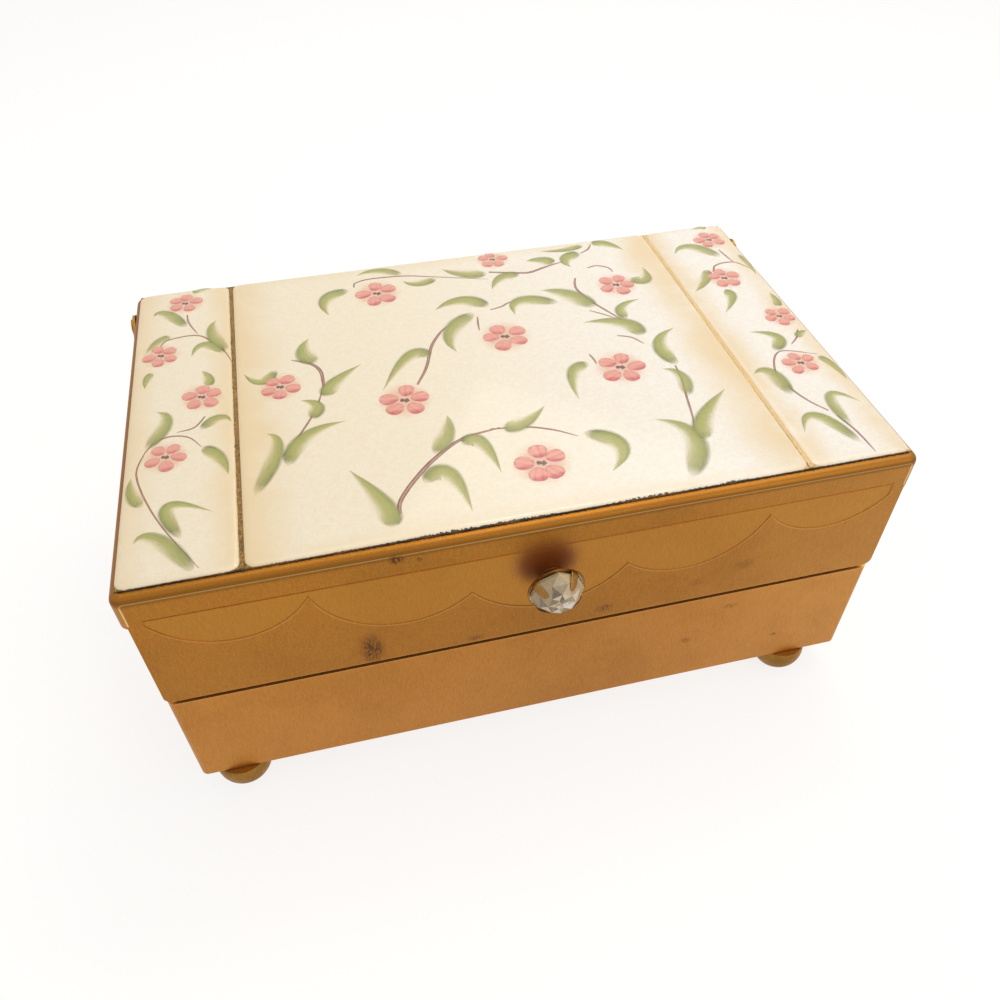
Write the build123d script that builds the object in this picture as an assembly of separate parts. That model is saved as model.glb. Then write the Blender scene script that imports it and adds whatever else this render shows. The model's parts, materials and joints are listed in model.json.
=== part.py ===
"""Tiered jewellery box of brass sheet, on four ball feet.

A lined base carries a lined tray on two pairs of side arms. The lid is hinged at the top of the
tray's back wall, has a deep front that hides the tray, and is worked by a link from each rear arm:
lifting the lid swings the tray up and back, so that the base opens too. Three painted panels lie on
the lid, and a glass stone in claws is its knob.

Millimetres, X to the right, Y to the back, Z up. The box stands on Z = 0, closed. It is laid out
about the middle of the base, and every piece is then moved back by origin_shift, so that the origin
is under the middle of the whole reach, from the knob to the hinge.
"""
from build123d import *
from math import cos, radians, sin
import os

# Both tiers
box_width = 152.0
box_depth = 98.0
base_height = 28.5
tier_gap = 1.0
upper_height = 31.5
tier_sheet = 0.7
corner_r = 1.5
fold_r = 0.5
rim_hem = 3.0

# Lid
lid_sheet = 0.6
lid_gap = 0.3
side_gap = 0.9
skirt_drop = 7.7
rear_skirt_gap = 0.5
skirt_hem = 1.5
skirt_hem_fold = 0.4
lid_corner_r = 2.2
roll_r = 1.6
front_corner_r = 1.6

# Engraving on the lid front: a line with five scallops hanging below it
engrave_depth = 0.12
line_drop = 6.0
line_width = 0.3
line_end_inset = 2.8
scallop_top_drop = 6.5
scallop_end_inset = 1.5
scallop_radii = (16.3, 18.1, 19.5, 18.1, 16.3)
scallop_lows = (16.0, 20.8, 23.6, 20.4, 15.6)
scallop_shifts = (0.7, 2.6, 1.6, 0.2, 0.7)
cutter_over = 1.0

# Painted panels
panel_thick = 0.7
glue_thick = 0.1
glue_lip = 0.35
side_panel_width = 21.3
seam_gap = 0.8
panel_side_inset = 1.2
panel_front_inset = 2.2
panel_rear_inset = 1.2
panel_corner_r = 2.0
panel_edge_r = 0.35
side_panel_crown = 0.3

# Feet
foot_r = 6.2
foot_height = 8.0
foot_flat_cut = 0.4
foot_side_inset = 10.6
foot_end_inset = 4.4
foot_shift = -2.0
foot_screw_r = 1.3
foot_screw_depth = 4.5
foot_screw_head_r = 3.0
foot_screw_head = 0.8

# Linings, dividers and ring rolls
lining_wall = 1.2
lining_gap = 0.1
lid_pad_thick = 1.4
lid_pad_inset = 3.0
lid_pad_rear_inset = 5.0
divider_thick = 2.4
divider_drop = 9.0
roll_count = 5
ring_roll_r = 5.4
ring_slot = 0.5
ring_bed = 2.0

# Side arms and lid links
arm_length = 26.0
arm_rest_angle = 25.0
arm_travel = 95.0
arm_width = 7.0
arm_sheet = 0.6
arm_wall_gap = 0.15
base_pivot_drop = 5.5
rear_pivot_y = 38.0
arm_spread = 48.0
crank = 9.4
link_gap = 0.25
link_width = 6.0
rivet_r = 1.0
rivet_head_r = 2.1
rivet_head = 0.5
rivet_end_gap = 0.1
shoulder_r = 1.7
running_gap = 0.05

# Hinges
rivet_hem_gap = 0.1
hinge_end_inset = 31.0
hinge_width = 26.0
knuckle_r = 1.5
knuckle_gap = 0.15
hinge_wall_gap = 0.3
hinge_pin_r = 0.6
leaf_thick = 0.5
leaf_reach = 6.0

# Knob
knob_x = 1.5
knob_drop = 14.6
stone_r = 5.35
stone_sides = 10
stone_crown = 3.0
stone_girdle = 0.6
stone_back = 2.0
stone_table_r = 2.8
stone_tip_r = 0.5
knob_stand = 1.4
post_r = 1.6
flange_r = 2.4
flange_thick = 0.5
cup_wall = 0.3
cup_back_r = 3.2
cup_floor = 0.4
cup_clear = 0.1
claw_count = 4
claw_turn = 9.0
claw_root = 2.0
claw_tip = 0.8
claw_reach = 2.3
claw_thick = 0.45
claw_clear = 0.06

# Levels and faces that follow from the sizes above
half_w = box_width / 2
half_d = box_depth / 2
base_z = foot_height
base_top = base_z + base_height
tray_z = base_top + tier_gap
lid_top = tray_z + upper_height
tray_top = lid_top - lid_sheet - lid_gap
tray_front = half_d - lid_sheet - lid_gap
lid_half_w = half_w + side_gap + lid_sheet
lid_back = half_d + lid_gap + lid_sheet
knob_z = lid_top - knob_drop
screw_room = foot_screw_head + lining_gap
hinge_x = half_w - hinge_end_inset
line_half = half_w - line_end_inset
scallop_pitch = (box_width - 2 * scallop_end_inset) / len(scallop_lows)

# Pivots as (y, z), with the arms lying forward and down at rest. The lid's rivets sit just above
# the hem of its side skirts, and that sets the height of the hinge.
arm_out = -cos(radians(arm_rest_angle))
arm_up = sin(radians(arm_rest_angle))
hinge_drop = skirt_drop - skirt_hem - rivet_hem_gap - rivet_head_r + crank * arm_up
rear_skirt_drop = hinge_drop - knuckle_r - rear_skirt_gap
hinge_axis = (half_d + hinge_wall_gap + knuckle_r, lid_top - hinge_drop)
base_rear = (rear_pivot_y, base_top - base_pivot_drop)
base_front = (rear_pivot_y - arm_spread, base_rear[1])
tray_rear = (base_rear[0] + arm_length * arm_out, base_rear[1] + arm_length * arm_up)
tray_front_pivot = (tray_rear[0] - arm_spread, tray_rear[1])
link_low = (tray_rear[0] + crank * arm_out, tray_rear[1] + crank * arm_up)
link_high = (hinge_axis[0] + crank * arm_out, hinge_axis[1] + crank * arm_up)
arm_x = half_w + arm_wall_gap
link_x = lid_half_w + link_gap

# Knob planes, counted forward from the lid front
cup_back = knob_stand
girdle_back = cup_back + cup_floor + cup_clear + stone_back
girdle_front = girdle_back + stone_girdle
stone_front = girdle_front + stone_crown
front_reach = half_d + stone_front
rear_reach = hinge_axis[0] + knuckle_r
origin_shift = (front_reach - rear_reach) / 2


def block(x0, x1, y0, y1, z0, z1):
    """Box between two corners."""
    middle = Pos((x0 + x1) / 2, (y0 + y1) / 2, (z0 + z1) / 2)
    return middle * Box(x1 - x0, y1 - y0, z1 - z0)


def slab(x0, x1, y0, y1, z0, z1, corner):
    """Upright prism with rounded corners in plan."""
    middle = Pos((x0 + x1) / 2, (y0 + y1) / 2, z0)
    return extrude(middle * RectangleRounded(x1 - x0, y1 - y0, corner), z1 - z0)


def rod_x(x0, x1, centre, radius):
    """Round bar along X, centred on (y, z)."""
    return Pos((x0 + x1) / 2, *centre) * Rot(0, 90, 0) * Cylinder(radius, x1 - x0)


def rod_y(y0, y1, x, z, radius):
    """Round bar along Y, centred on (x, z)."""
    return Pos(x, (y0 + y1) / 2, z) * Rot(90, 0, 0) * Cylinder(radius, y1 - y0)


def tub(front, bottom, top):
    """Folded sheet tub, open at the top, with its rim hemmed inwards."""
    outer = slab(-half_w, half_w, -front, half_d, bottom, top, corner_r)
    outer = fillet(outer.edges().group_by(Axis.Z)[0], fold_r)
    t = tier_sheet
    inner_r = max(corner_r - t, fold_r)
    hollow = slab(t - half_w, half_w - t, t - front, half_d - t, bottom + t, top - rim_hem, inner_r)
    mouth = slab(2 * t - half_w, half_w - 2 * t, 2 * t - front, half_d - 2 * t, bottom + t, top, fold_r)
    return outer - hollow - mouth


def lining(front, bottom, top):
    """Velvet-covered card liner that stands inside a tub, below its hem."""
    x = half_w - tier_sheet - lining_gap
    y0 = -(front - tier_sheet - lining_gap)
    y1 = half_d - tier_sheet - lining_gap
    w = lining_wall
    z1 = top - rim_hem - lining_gap
    outer = slab(-x, x, y0, y1, bottom, z1, fold_r)
    return outer - slab(w - x, x - w, y0 + w, y1 - w, bottom + w, z1, fold_r)


def bar(start, end, width, x0, thick):
    """Flat bar with round ends between two pivots, in an upright plane."""
    run = Vector(0, end[0] - start[0], end[1] - start[1])
    middle = (x0, (start[0] + end[0]) / 2, (start[1] + end[1]) / 2)
    plane = Plane(origin=middle, x_dir=run, z_dir=(1, 0, 0))
    return extrude(plane * SlotCenterToCenter(run.length, width), thick)


def pivot_rivet(centre):
    """Rivet from the inner face of a side wall out through an arm."""
    arm_face = arm_x + arm_sheet
    head_in = arm_face + rivet_end_gap
    shank = rod_x(half_w - tier_sheet, head_in, centre, rivet_r)
    return shank + rod_x(head_in, head_in + rivet_head, centre, rivet_head_r)


def link_end(centre):
    """Shank and outer head that hold one end of a lid link."""
    head_in = link_x + arm_sheet + rivet_end_gap
    shank = rod_x(lid_half_w, head_in, centre, rivet_r)
    return shank + rod_x(head_in, head_in + rivet_head, centre, rivet_head_r)


def both_sides(part):
    """The right-hand part and its left-hand twin."""
    return [part, mirror(part, about=Plane.YZ)]


def base_shell():
    shell = tub(half_d, base_z, base_top)
    for centre in (base_rear, base_front):
        shell -= rod_x(-half_w, half_w, centre, rivet_r)
    for x, y in foot_places():
        shell -= Pos(x, y, base_z + tier_sheet / 2) * Cylinder(foot_screw_r, tier_sheet)
    return shell


def foot_places():
    """Centres of the four feet: front left, front right, rear left, rear right."""
    left = foot_shift - (half_w - foot_side_inset)
    right = foot_shift + (half_w - foot_side_inset)
    y = half_d - foot_end_inset
    return [(left, -y), (right, -y), (left, y), (right, y)]


def foot(x, y):
    """Ball, cut flat where it meets the ground and the base, bored for its screw."""
    ball = Pos(x, y, foot_r - foot_flat_cut) * Sphere(foot_r)
    side = foot_r + cutter_over
    ball &= block(x - side, x + side, y - side, y + side, 0, base_z)
    return ball - Pos(x, y, base_z - foot_screw_depth / 2) * Cylinder(foot_screw_r, foot_screw_depth)


def foot_screw(x, y):
    floor = base_z + tier_sheet
    low = base_z - foot_screw_depth
    shank = Pos(x, y, (low + floor) / 2) * Cylinder(foot_screw_r, floor - low)
    head = Pos(x, y, floor + foot_screw_head / 2) * Cylinder(foot_screw_head_r, foot_screw_head)
    return shank + head


# Middle of the base's right-hand divider, which leaves three equal compartments
base_divider_x = (half_w - tier_sheet - lining_gap - lining_wall + divider_thick / 2) / 3


def base_divider(x):
    """Velvet-covered card standing across the base."""
    y = half_d - tier_sheet - lining_gap - lining_wall - lining_gap
    z = base_z + tier_sheet + screw_room + lining_wall
    return block(x - divider_thick / 2, x + divider_thick / 2, -y, y, z, base_top - divider_drop)


def tray_shell():
    shell = tub(tray_front, tray_z, tray_top)
    for centre in (tray_rear, tray_front_pivot):
        shell -= rod_x(-half_w, half_w, centre, rivet_r)
    return shell


# Inside faces of the tray's lining, which the rolls and dividers stand against
tray_floor = tray_z + tier_sheet + lining_gap + lining_wall
tray_in_x = half_w - tier_sheet - lining_gap - lining_wall - lining_gap
tray_in_front = -(tray_front - tier_sheet - lining_gap - lining_wall - lining_gap)
tray_in_back = half_d - tier_sheet - lining_gap - lining_wall - lining_gap

# The rolls fill the left end of the tray, and the long divider stands beside the last one
roll_pitch = 2 * ring_roll_r + ring_slot
rolls_end = roll_count * roll_pitch - tray_in_x
tray_divider_x = rolls_end + lining_gap + divider_thick / 2
tray_divider_y = (tray_in_front + tray_in_back) / 2


def tray_divider_long():
    x = tray_divider_x
    top = tray_top - divider_drop
    return block(x - divider_thick / 2, x + divider_thick / 2, tray_in_front, tray_in_back, tray_floor, top)


def tray_divider_cross():
    y = tray_divider_y
    x0 = tray_divider_x + divider_thick / 2 + lining_gap
    top = tray_top - divider_drop
    return block(x0, tray_in_x, y - divider_thick / 2, y + divider_thick / 2, tray_floor, top)


def ring_rolls():
    """Bed with soft rolls lying front to back, a ring slot between each two."""
    rolls = block(-tray_in_x, rolls_end, tray_in_front, tray_in_back, tray_floor, tray_floor + ring_bed)
    for i in range(roll_count):
        x = rolls_end - (i + 0.5) * roll_pitch
        z = tray_floor + ring_bed / 2 + ring_roll_r
        rolls += rod_y(tray_in_front, tray_in_back, x, z, ring_roll_r)
    return rolls


def hinge_half(x, tray_side):
    """Leaf with its knuckles: the tray has the two outer ones, the lid the middle one."""
    y, z = hinge_axis
    x0 = x - hinge_width / 2
    third = hinge_width / 3
    clear = knuckle_r + hinge_wall_gap
    if tray_side:
        leaf = block(x0, x0 + hinge_width, half_d, half_d + leaf_thick, z - leaf_reach, z - clear)
        spans = [(x0, x0 + third - knuckle_gap), (x0 + 2 * third + knuckle_gap, x0 + hinge_width)]
    else:
        leaf = block(x0, x0 + hinge_width, lid_back, lid_back + leaf_thick, z + clear, z + leaf_reach)
        spans = [(x0 + third + knuckle_gap, x0 + 2 * third - knuckle_gap)]
    for a, b in spans:
        if tray_side:
            leaf += block(a, b, half_d, half_d + leaf_thick, z - clear, z)
        else:
            leaf += block(a, b, lid_back, lid_back + leaf_thick, z, z + clear)
        leaf += rod_x(a, b, hinge_axis, knuckle_r)
    bore = hinge_pin_r if tray_side else hinge_pin_r + running_gap
    return leaf - rod_x(x0, x0 + hinge_width, hinge_axis, bore)


def hinge_pin(x):
    return rod_x(x - hinge_width / 2, x + hinge_width / 2, hinge_axis, hinge_pin_r)


def scallop_mask():
    """Discs of the five scallops, each a little off its even place, cut off just under the line."""
    y0 = -half_d - cutter_over
    y1 = -half_d + engrave_depth
    discs = None
    for i, (radius, low, shift) in enumerate(zip(scallop_radii, scallop_lows, scallop_shifts)):
        x = (i - (len(scallop_lows) - 1) / 2) * scallop_pitch + shift
        disc = rod_y(y0, y1, x, lid_top - low + radius, radius)
        discs = disc if discs is None else discs + disc
    return discs & block(-line_half, line_half, y0, y1, tray_z, lid_top - scallop_top_drop)


def lid_shell():
    """Top, skirts and deep front in one sheet, with a rolled top edge and hemmed side skirts."""
    t = lid_sheet
    low = lid_top - skirt_drop
    outer = slab(-lid_half_w, lid_half_w, -half_d, lid_back, low, lid_top, lid_corner_r)
    outer = fillet(outer.edges().group_by(Axis.Z)[-1], roll_r)
    x = lid_half_w - t
    hollow = slab(-x, x, t - half_d, lid_back - t, low, lid_top - t, lid_corner_r - t)
    hollow = fillet(hollow.edges().group_by(Axis.Z)[-1], roll_r - t)
    shell = outer - hollow
    rear = lid_back - t - lid_corner_r
    shell -= block(-lid_half_w, lid_half_w, rear, lid_back, low, lid_top - rear_skirt_drop)
    hem = block(x - skirt_hem_fold, x, lid_corner_r - half_d, rear, low, low + skirt_hem)
    for strip in both_sides(hem):
        shell += strip
    front = block(-half_w, half_w, -half_d, t - half_d, tray_z, low + t)
    shell += fillet(front.edges().filter_by(Axis.Y).group_by(Axis.Z)[0], front_corner_r)
    line_z = lid_top - line_drop
    line_y = -half_d - cutter_over
    shell -= block(-line_half, line_half, line_y, engrave_depth - half_d, line_z - line_width, line_z)
    shell -= scallop_mask()
    shell -= rod_y(-half_d, t - half_d, knob_x, knob_z, post_r)
    return shell - rod_x(-lid_half_w, lid_half_w, link_high, rivet_r)


# Outline of the panels on the lid
panel_x = lid_half_w - panel_side_inset
panel_y0 = -half_d + panel_front_inset
panel_y1 = lid_back - panel_rear_inset
panel_z = lid_top + glue_thick
side_panel_x = panel_x - side_panel_width
seam_x = side_panel_x - seam_gap / 2


def panel_plate(x0, x1):
    """Painted panel with rounded corners and a soft upper edge."""
    plate = slab(x0, x1, panel_y0, panel_y1, panel_z, panel_z + panel_thick, panel_corner_r)
    return fillet(plate.edges().group_by(Axis.Z)[-1], panel_edge_r)


def side_panel():
    """Right-hand panel, crowned from side to side."""
    half = side_panel_width / 2
    curve_r = (half ** 2 + side_panel_crown ** 2) / (2 * side_panel_crown)
    crown = rod_y(panel_y0, panel_y1, side_panel_x + half, panel_z + panel_thick - curve_r, curve_r)
    plate = slab(side_panel_x, panel_x, panel_y0, panel_y1, panel_z, panel_z + panel_thick, panel_corner_r)
    return plate & crown


def panel_glue():
    """Dark glue that beds the panels, with a lip at the front and a ridge in each seam."""
    bed = slab(-panel_x, panel_x, panel_y0 - glue_lip, panel_y1, lid_top, panel_z, panel_corner_r)
    half = seam_gap / 2
    ridge = block(seam_x - half, seam_x + half, panel_y0 - glue_lip / 2, panel_y1 - panel_corner_r,
                  panel_z, panel_z + panel_thick / 2)
    for strip in both_sides(ridge):
        bed += strip
    return bed


def lid_lining():
    x = half_w - lid_pad_inset
    top = lid_top - lid_sheet
    return slab(-x, x, lid_pad_inset - half_d + lid_gap, half_d - lid_pad_rear_inset,
                top - lid_pad_thick, top, corner_r)


def stone():
    """Faceted glass stone facing forward, with a flat table in front and a pointed back."""
    front = -half_d
    ring = RegularPolygon(stone_r, stone_sides)
    table = RegularPolygon(stone_table_r, stone_sides)
    tip = RegularPolygon(stone_tip_r, stone_sides)

    def facing(distance):
        return Plane(origin=(knob_x, front - distance, knob_z), x_dir=(1, 0, 0), z_dir=(0, -1, 0))

    girdle = extrude(facing(girdle_back) * ring, stone_girdle)
    crown = loft([facing(girdle_front) * ring, facing(stone_front) * table])
    back = loft([facing(girdle_back) * ring, facing(girdle_back - stone_back) * tip])
    return girdle + crown + back


def knob_setting():
    """Conical cup around the stone's back, with claws bent over its edge."""
    front = -half_d
    inner = stone_r + cup_clear
    outer = inner + cup_wall
    back_y = front - cup_back
    floor_y = back_y - cup_floor
    rim_y = front - girdle_back
    shoulder_y = rim_y + cup_wall + cup_floor
    floor_r = stone_tip_r + cup_clear
    profile = Polygon((0, back_y), (cup_back_r, back_y), (outer, shoulder_y), (outer, rim_y),
                      (inner, rim_y), (inner, rim_y + cup_clear), (floor_r, floor_y), (0, floor_y),
                      align=None)
    cup = revolve(profile, Axis.Y)
    slope = stone_crown / (stone_r - stone_table_r)
    over_y = front - girdle_front - claw_clear
    tip_r = stone_r - claw_reach
    tip_y = over_y - slope * (stone_r - tip_r)
    section = Polygon((outer, rim_y), (outer, over_y - claw_thick), (tip_r, tip_y - claw_thick),
                      (tip_r, tip_y), (inner, over_y), (inner, rim_y), align=None)
    claw = extrude(section, claw_root / 2, both=True)
    face = Plane(origin=(0, front, 0), x_dir=(1, 0, 0), z_dir=(0, -1, 0))
    taper = face * Polygon((tip_r, -claw_tip / 2), (outer, -claw_root / 2), (outer, claw_root / 2),
                           (tip_r, claw_tip / 2), align=None)
    claw &= extrude(taper, stone_front + claw_thick)
    for i in range(claw_count):
        turn = 180 / claw_count + claw_turn + i * 360 / claw_count
        cup += Rot(0, -turn, 0) * claw
    return Pos(knob_x, 0, knob_z) * cup


def knob_post():
    """Post riveted flush behind the lid front, with a flange against it."""
    front = -half_d
    post = rod_y(front - cup_back, front + lid_sheet, knob_x, knob_z, post_r)
    return post + rod_y(front - flange_thick, front, knob_x, knob_z, flange_r)


def rear_arm():
    arm = bar(base_rear, link_low, arm_width, arm_x, arm_sheet)
    for centre in (base_rear, tray_rear):
        arm -= rod_x(arm_x, arm_x + arm_sheet, centre, rivet_r + running_gap)
    return arm - rod_x(arm_x, arm_x + arm_sheet, link_low, rivet_r)


def front_arm():
    arm = bar(base_front, tray_front_pivot, arm_width, arm_x, arm_sheet)
    for centre in (base_front, tray_front_pivot):
        arm -= rod_x(arm_x, arm_x + arm_sheet, centre, rivet_r + running_gap)
    return arm


def link_rivet():
    """Shouldered rivet on the rear arm that carries the link's low end."""
    arm_face = arm_x + arm_sheet
    rivet = rod_x(arm_x, arm_face, link_low, rivet_r)
    rivet += rod_x(arm_face, link_x - rivet_end_gap, link_low, shoulder_r)
    return rivet + link_end(link_low)


def lid_rivet():
    """Shouldered rivet in the lid's side skirt that carries the link's high end."""
    skirt_in = lid_half_w - lid_sheet
    rivet = rod_x(skirt_in - rivet_head, skirt_in, link_high, rivet_head_r)
    rivet += rod_x(skirt_in, lid_half_w, link_high, rivet_r)
    rivet += rod_x(lid_half_w, link_x - rivet_end_gap, link_high, shoulder_r)
    return rivet + link_end(link_high)


def lid_link():
    link = bar(link_low, link_high, link_width, link_x, arm_sheet)
    for centre in (link_low, link_high):
        link -= rod_x(link_x, link_x + arm_sheet, centre, rivet_r + running_gap)
    return link


def save(name, *solids):
    """Write one piece, or a group of like pieces, as parts/NAME.step."""
    moved = [Pos(0, origin_shift, 0) * solid for solid in solids]
    piece = moved[0] if len(moved) == 1 else Compound(children=moved)
    piece.label = name
    export_step(piece, f"parts/{name}.step")


def save_pair(name, part):
    """Write a right-hand piece and its left-hand twin as two nodes."""
    right, left = both_sides(part)
    save(f"{name}_right", right)
    save(f"{name}_left", left)


os.makedirs("parts", exist_ok=True)

save("base_shell", base_shell())
save("base_lining", lining(half_d, base_z + tier_sheet + screw_room, base_top))
save("base_divider_left", base_divider(-base_divider_x))
save("base_divider_right", base_divider(base_divider_x))
for place, (foot_x, foot_y) in zip(("front_left", "front_right", "rear_left", "rear_right"), foot_places()):
    save(f"foot_{place}", foot(foot_x, foot_y))
save("foot_screws", *[foot_screw(x, y) for x, y in foot_places()])
save("base_rivets", *both_sides(pivot_rivet(base_rear)), *both_sides(pivot_rivet(base_front)))

save_pair("rear_arm", rear_arm())
save_pair("front_arm", front_arm())
save_pair("link_rivet", link_rivet())
save_pair("lid_link", lid_link())

save("tray_shell", tray_shell())
save("tray_lining", lining(tray_front, tray_z + tier_sheet + lining_gap, tray_top))
save("tray_divider_long", tray_divider_long())
save("tray_divider_cross", tray_divider_cross())
save("ring_rolls", ring_rolls())
save("tray_rivets", *both_sides(pivot_rivet(tray_rear)), *both_sides(pivot_rivet(tray_front_pivot)))
save_pair("tray_hinge", hinge_half(hinge_x, True))
save_pair("hinge_pin", hinge_pin(hinge_x))

save("lid_shell", lid_shell())
save("lid_lining", lid_lining())
save_pair("lid_hinge", hinge_half(hinge_x, False))
save("lid_rivets", *both_sides(lid_rivet()))
save("panel_glue", panel_glue())
save("center_panel", panel_plate(-seam_x + seam_gap / 2, seam_x - seam_gap / 2))
save_pair("side_panel", side_panel())
save("knob_post", knob_post())
save("knob_setting", knob_setting())
save("knob_stone", stone())

pivots = {
    "base rear": base_rear,
    "base front": base_front,
    "tray rear": tray_rear,
    "tray front": tray_front_pivot,
    "link low": link_low,
    "link high": link_high,
    "lid hinge": hinge_axis,
}
print(f"origin shift {origin_shift:.4f}")
for title, (y, z) in pivots.items():
    print(f"{title}: y {y + origin_shift:.4f}, z {z:.4f}")
print(f"arms swing {arm_travel} degrees")
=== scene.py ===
"""Looks of the tiered jewellery box: brushed brass tiers, painted panels, a glass knob and velvet inside.

Metres, +X to the right, +Y to the back, +Z up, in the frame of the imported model.
"""
import bmesh
import bpy
import json
import math
import random
from bpy.props import FloatProperty, FloatVectorProperty, IntProperty, PointerProperty
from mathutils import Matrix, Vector, noise


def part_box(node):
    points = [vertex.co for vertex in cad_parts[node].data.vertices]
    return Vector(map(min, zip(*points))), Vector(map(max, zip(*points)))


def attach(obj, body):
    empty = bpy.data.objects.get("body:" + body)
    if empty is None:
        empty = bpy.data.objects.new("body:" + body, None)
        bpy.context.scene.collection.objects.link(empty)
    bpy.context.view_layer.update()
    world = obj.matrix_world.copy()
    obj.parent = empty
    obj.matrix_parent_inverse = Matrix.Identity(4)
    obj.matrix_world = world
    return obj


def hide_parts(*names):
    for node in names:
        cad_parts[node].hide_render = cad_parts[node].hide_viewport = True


bl_info = {
    "name": "Tiered jewellery box",
    "version": (1, 0, 0),
    "blender": (4, 5, 0),
    "location": "View3D > Sidebar > Jewellery box",
    "description": "Dresses a tiered jewellery box in brushed brass, painted lacquer, glass and velvet",
    "category": "Object",
}

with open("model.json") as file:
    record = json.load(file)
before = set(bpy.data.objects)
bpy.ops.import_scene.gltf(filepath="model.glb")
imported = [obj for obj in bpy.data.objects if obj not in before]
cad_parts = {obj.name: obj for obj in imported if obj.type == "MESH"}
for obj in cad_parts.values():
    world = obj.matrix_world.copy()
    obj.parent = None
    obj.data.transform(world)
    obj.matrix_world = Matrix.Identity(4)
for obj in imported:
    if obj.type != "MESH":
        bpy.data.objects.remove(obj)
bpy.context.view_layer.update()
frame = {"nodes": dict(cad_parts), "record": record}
NODES = frame["nodes"]
MM = 0.001
WELD = 0.001 * MM


def extents(node_name):
    """Low and high corner, middle and half size of a node's box."""
    low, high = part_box(node_name)
    return low, high, (low + high) / 2, (high - low) / 2


def depth_inside(point, middle, half):
    """How far in a point lies from the nearest side of a box, seen from above."""
    return min(half.x - abs(point.x - middle.x), half.y - abs(point.y - middle.y))


def srgb(red, green, blue):
    """Linear colour of an 8-bit screen colour."""
    return tuple(((c / 255 + 0.055) / 1.055) ** 2.4 for c in (red, green, blue))


def length(name, text, millimetres):
    return FloatProperty(name=name, description=text, default=millimetres * MM, min=0, precision=5,
                         subtype="DISTANCE", unit="LENGTH")


def watts(name, text, value):
    return FloatProperty(name=name, description=text, default=value, min=0, subtype="POWER", unit="POWER")


def colour(name, text, *screen):
    return FloatVectorProperty(name=name, description=text, default=srgb(*screen), size=3, min=0, max=1,
                               subtype="COLOR")


# Sizes and colours

class BrassLook(bpy.types.PropertyGroup):
    """Colours and grain of the metal."""
    lid: colour("Lid sheet", "Satin brass of the lid and its front", 175, 114, 37)
    tier: colour("Tier sheet", "Satin brass of the base and the tray", 196, 130, 52)
    # Also the painted shade on the lid's rolled top edge and across the middle of the fronts
    shade: colour("Patina", "Darker brass in rubbed and handled places", 112, 70, 28)
    # Also the painted highlight along the rims and the painted light towards the right of the fronts; its
    # fine speckle in the grain is the brass's own
    bright: colour("Worn edge", "Bright brass along rubbed folds and rims", 224, 174, 98)
    lip: colour("Engraved lip", "Light on the lips of the engraving", 255, 222, 150)
    stain: colour("Stain", "Tarnish spots", 82, 48, 28)
    # Painted shade and reflection of the knob on the lid front, just above it and to its left
    shadowed: colour("Handled patch", "Dull red tarnish above the knob", 142, 66, 26)
    olive: colour("Scallop", "Brass inside the engraved scallops", 190, 131, 49)
    fitting: colour("Fittings", "Brass of arms, links, hinges and rivets", 156, 116, 62)
    foot: colour("Feet", "Brass of the ball feet", 150, 108, 46)
    brush_width: length("Brush width", "Width of one brush line", 0.13)
    brush_length: length("Brush length", "Length of one brush line", 2.2)
    engrave_depth: length("Engraving", "Depth of the engraved scallops, as in the lid front", 0.12)


class PanelLook(bpy.types.PropertyGroup):
    """Shape and lacquer of the three painted panels."""
    cream: colour("Cream", "Lacquer in the middle of a panel", 249, 239, 216)
    # Painted light: the lacquer is drawn paler towards the right
    pale: colour("Pale cream", "Cleaner lacquer towards the right", 254, 251, 246)
    tan: colour("Tan", "Rubbed shading along the panels' edges", 240, 214, 166)
    chip: colour("Chipped edge", "Dark ground where the lacquer is chipped", 52, 40, 22)
    edge_round: length("Edge round", "How far in the soft edge reaches", 1.4)
    edge_fall: length("Edge fall", "How far the soft edge drops", 0.38)
    crown: length("Crown", "Rise of a side panel's middle", 0.22)
    center_crown: length("Center crown", "Rise of the center panel's middle", 0.1)
    corner: length("Corner", "Corner radius of a panel in plan", 2.0)
    tan_reach: length("Tan reach", "Width of the center panel's shaded border", 13.0)
    side_reach: length("Side tan reach", "Width of a side panel's shaded border", 7.5)
    paint_room: length("Paint room", "Room kept above the lacquer for the paint", 0.08)


class GlueLook(bpy.types.PropertyGroup):
    """Dark glue round the panels and gilt grain in their seams."""
    dark: colour("Glue", "Old glue along the front edge", 44, 32, 16)
    worn: colour("Worn glue", "Glue rubbed down to the brass", 128, 88, 40)
    gilt: colour("Gilt grain", "Rubbed gilt in the seams", 168, 128, 62)
    pale: colour("Pale seam", "Clean filler in the right-hand seam", 240, 208, 148)
    front_reach: length("Front reach", "How far glue stands out in front of the panels", 0.18)
    grain: length("Grain", "Size of a crumb of glue", 0.45)


class PaintLook(bpy.types.PropertyGroup):
    """Colours and relief of the painted vines."""
    leaf_dark: colour("Leaf shade", "Shaded edge and root of a leaf", 106, 114, 38)
    leaf: colour("Leaf", "Body of a leaf", 182, 184, 84)
    leaf_light: colour("Leaf light", "Faded side of a leaf", 220, 213, 146)
    stem: colour("Stem", "Brown line of a stem", 138, 72, 52)
    petal_deep: colour("Petal rim", "Deep rim of a petal", 208, 66, 76)
    petal: colour("Petal", "Light middle of a petal", 252, 176, 158)
    blush: colour("Blush", "Faint haze round a blossom", 252, 208, 186)
    eye: colour("Eye", "Dark dot in a blossom", 112, 54, 40)
    relief: length("Relief", "Height of a paint stroke above the lacquer", 0.035)
    bristle: length("Bristle", "Width of a bristle mark", 0.11)


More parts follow.
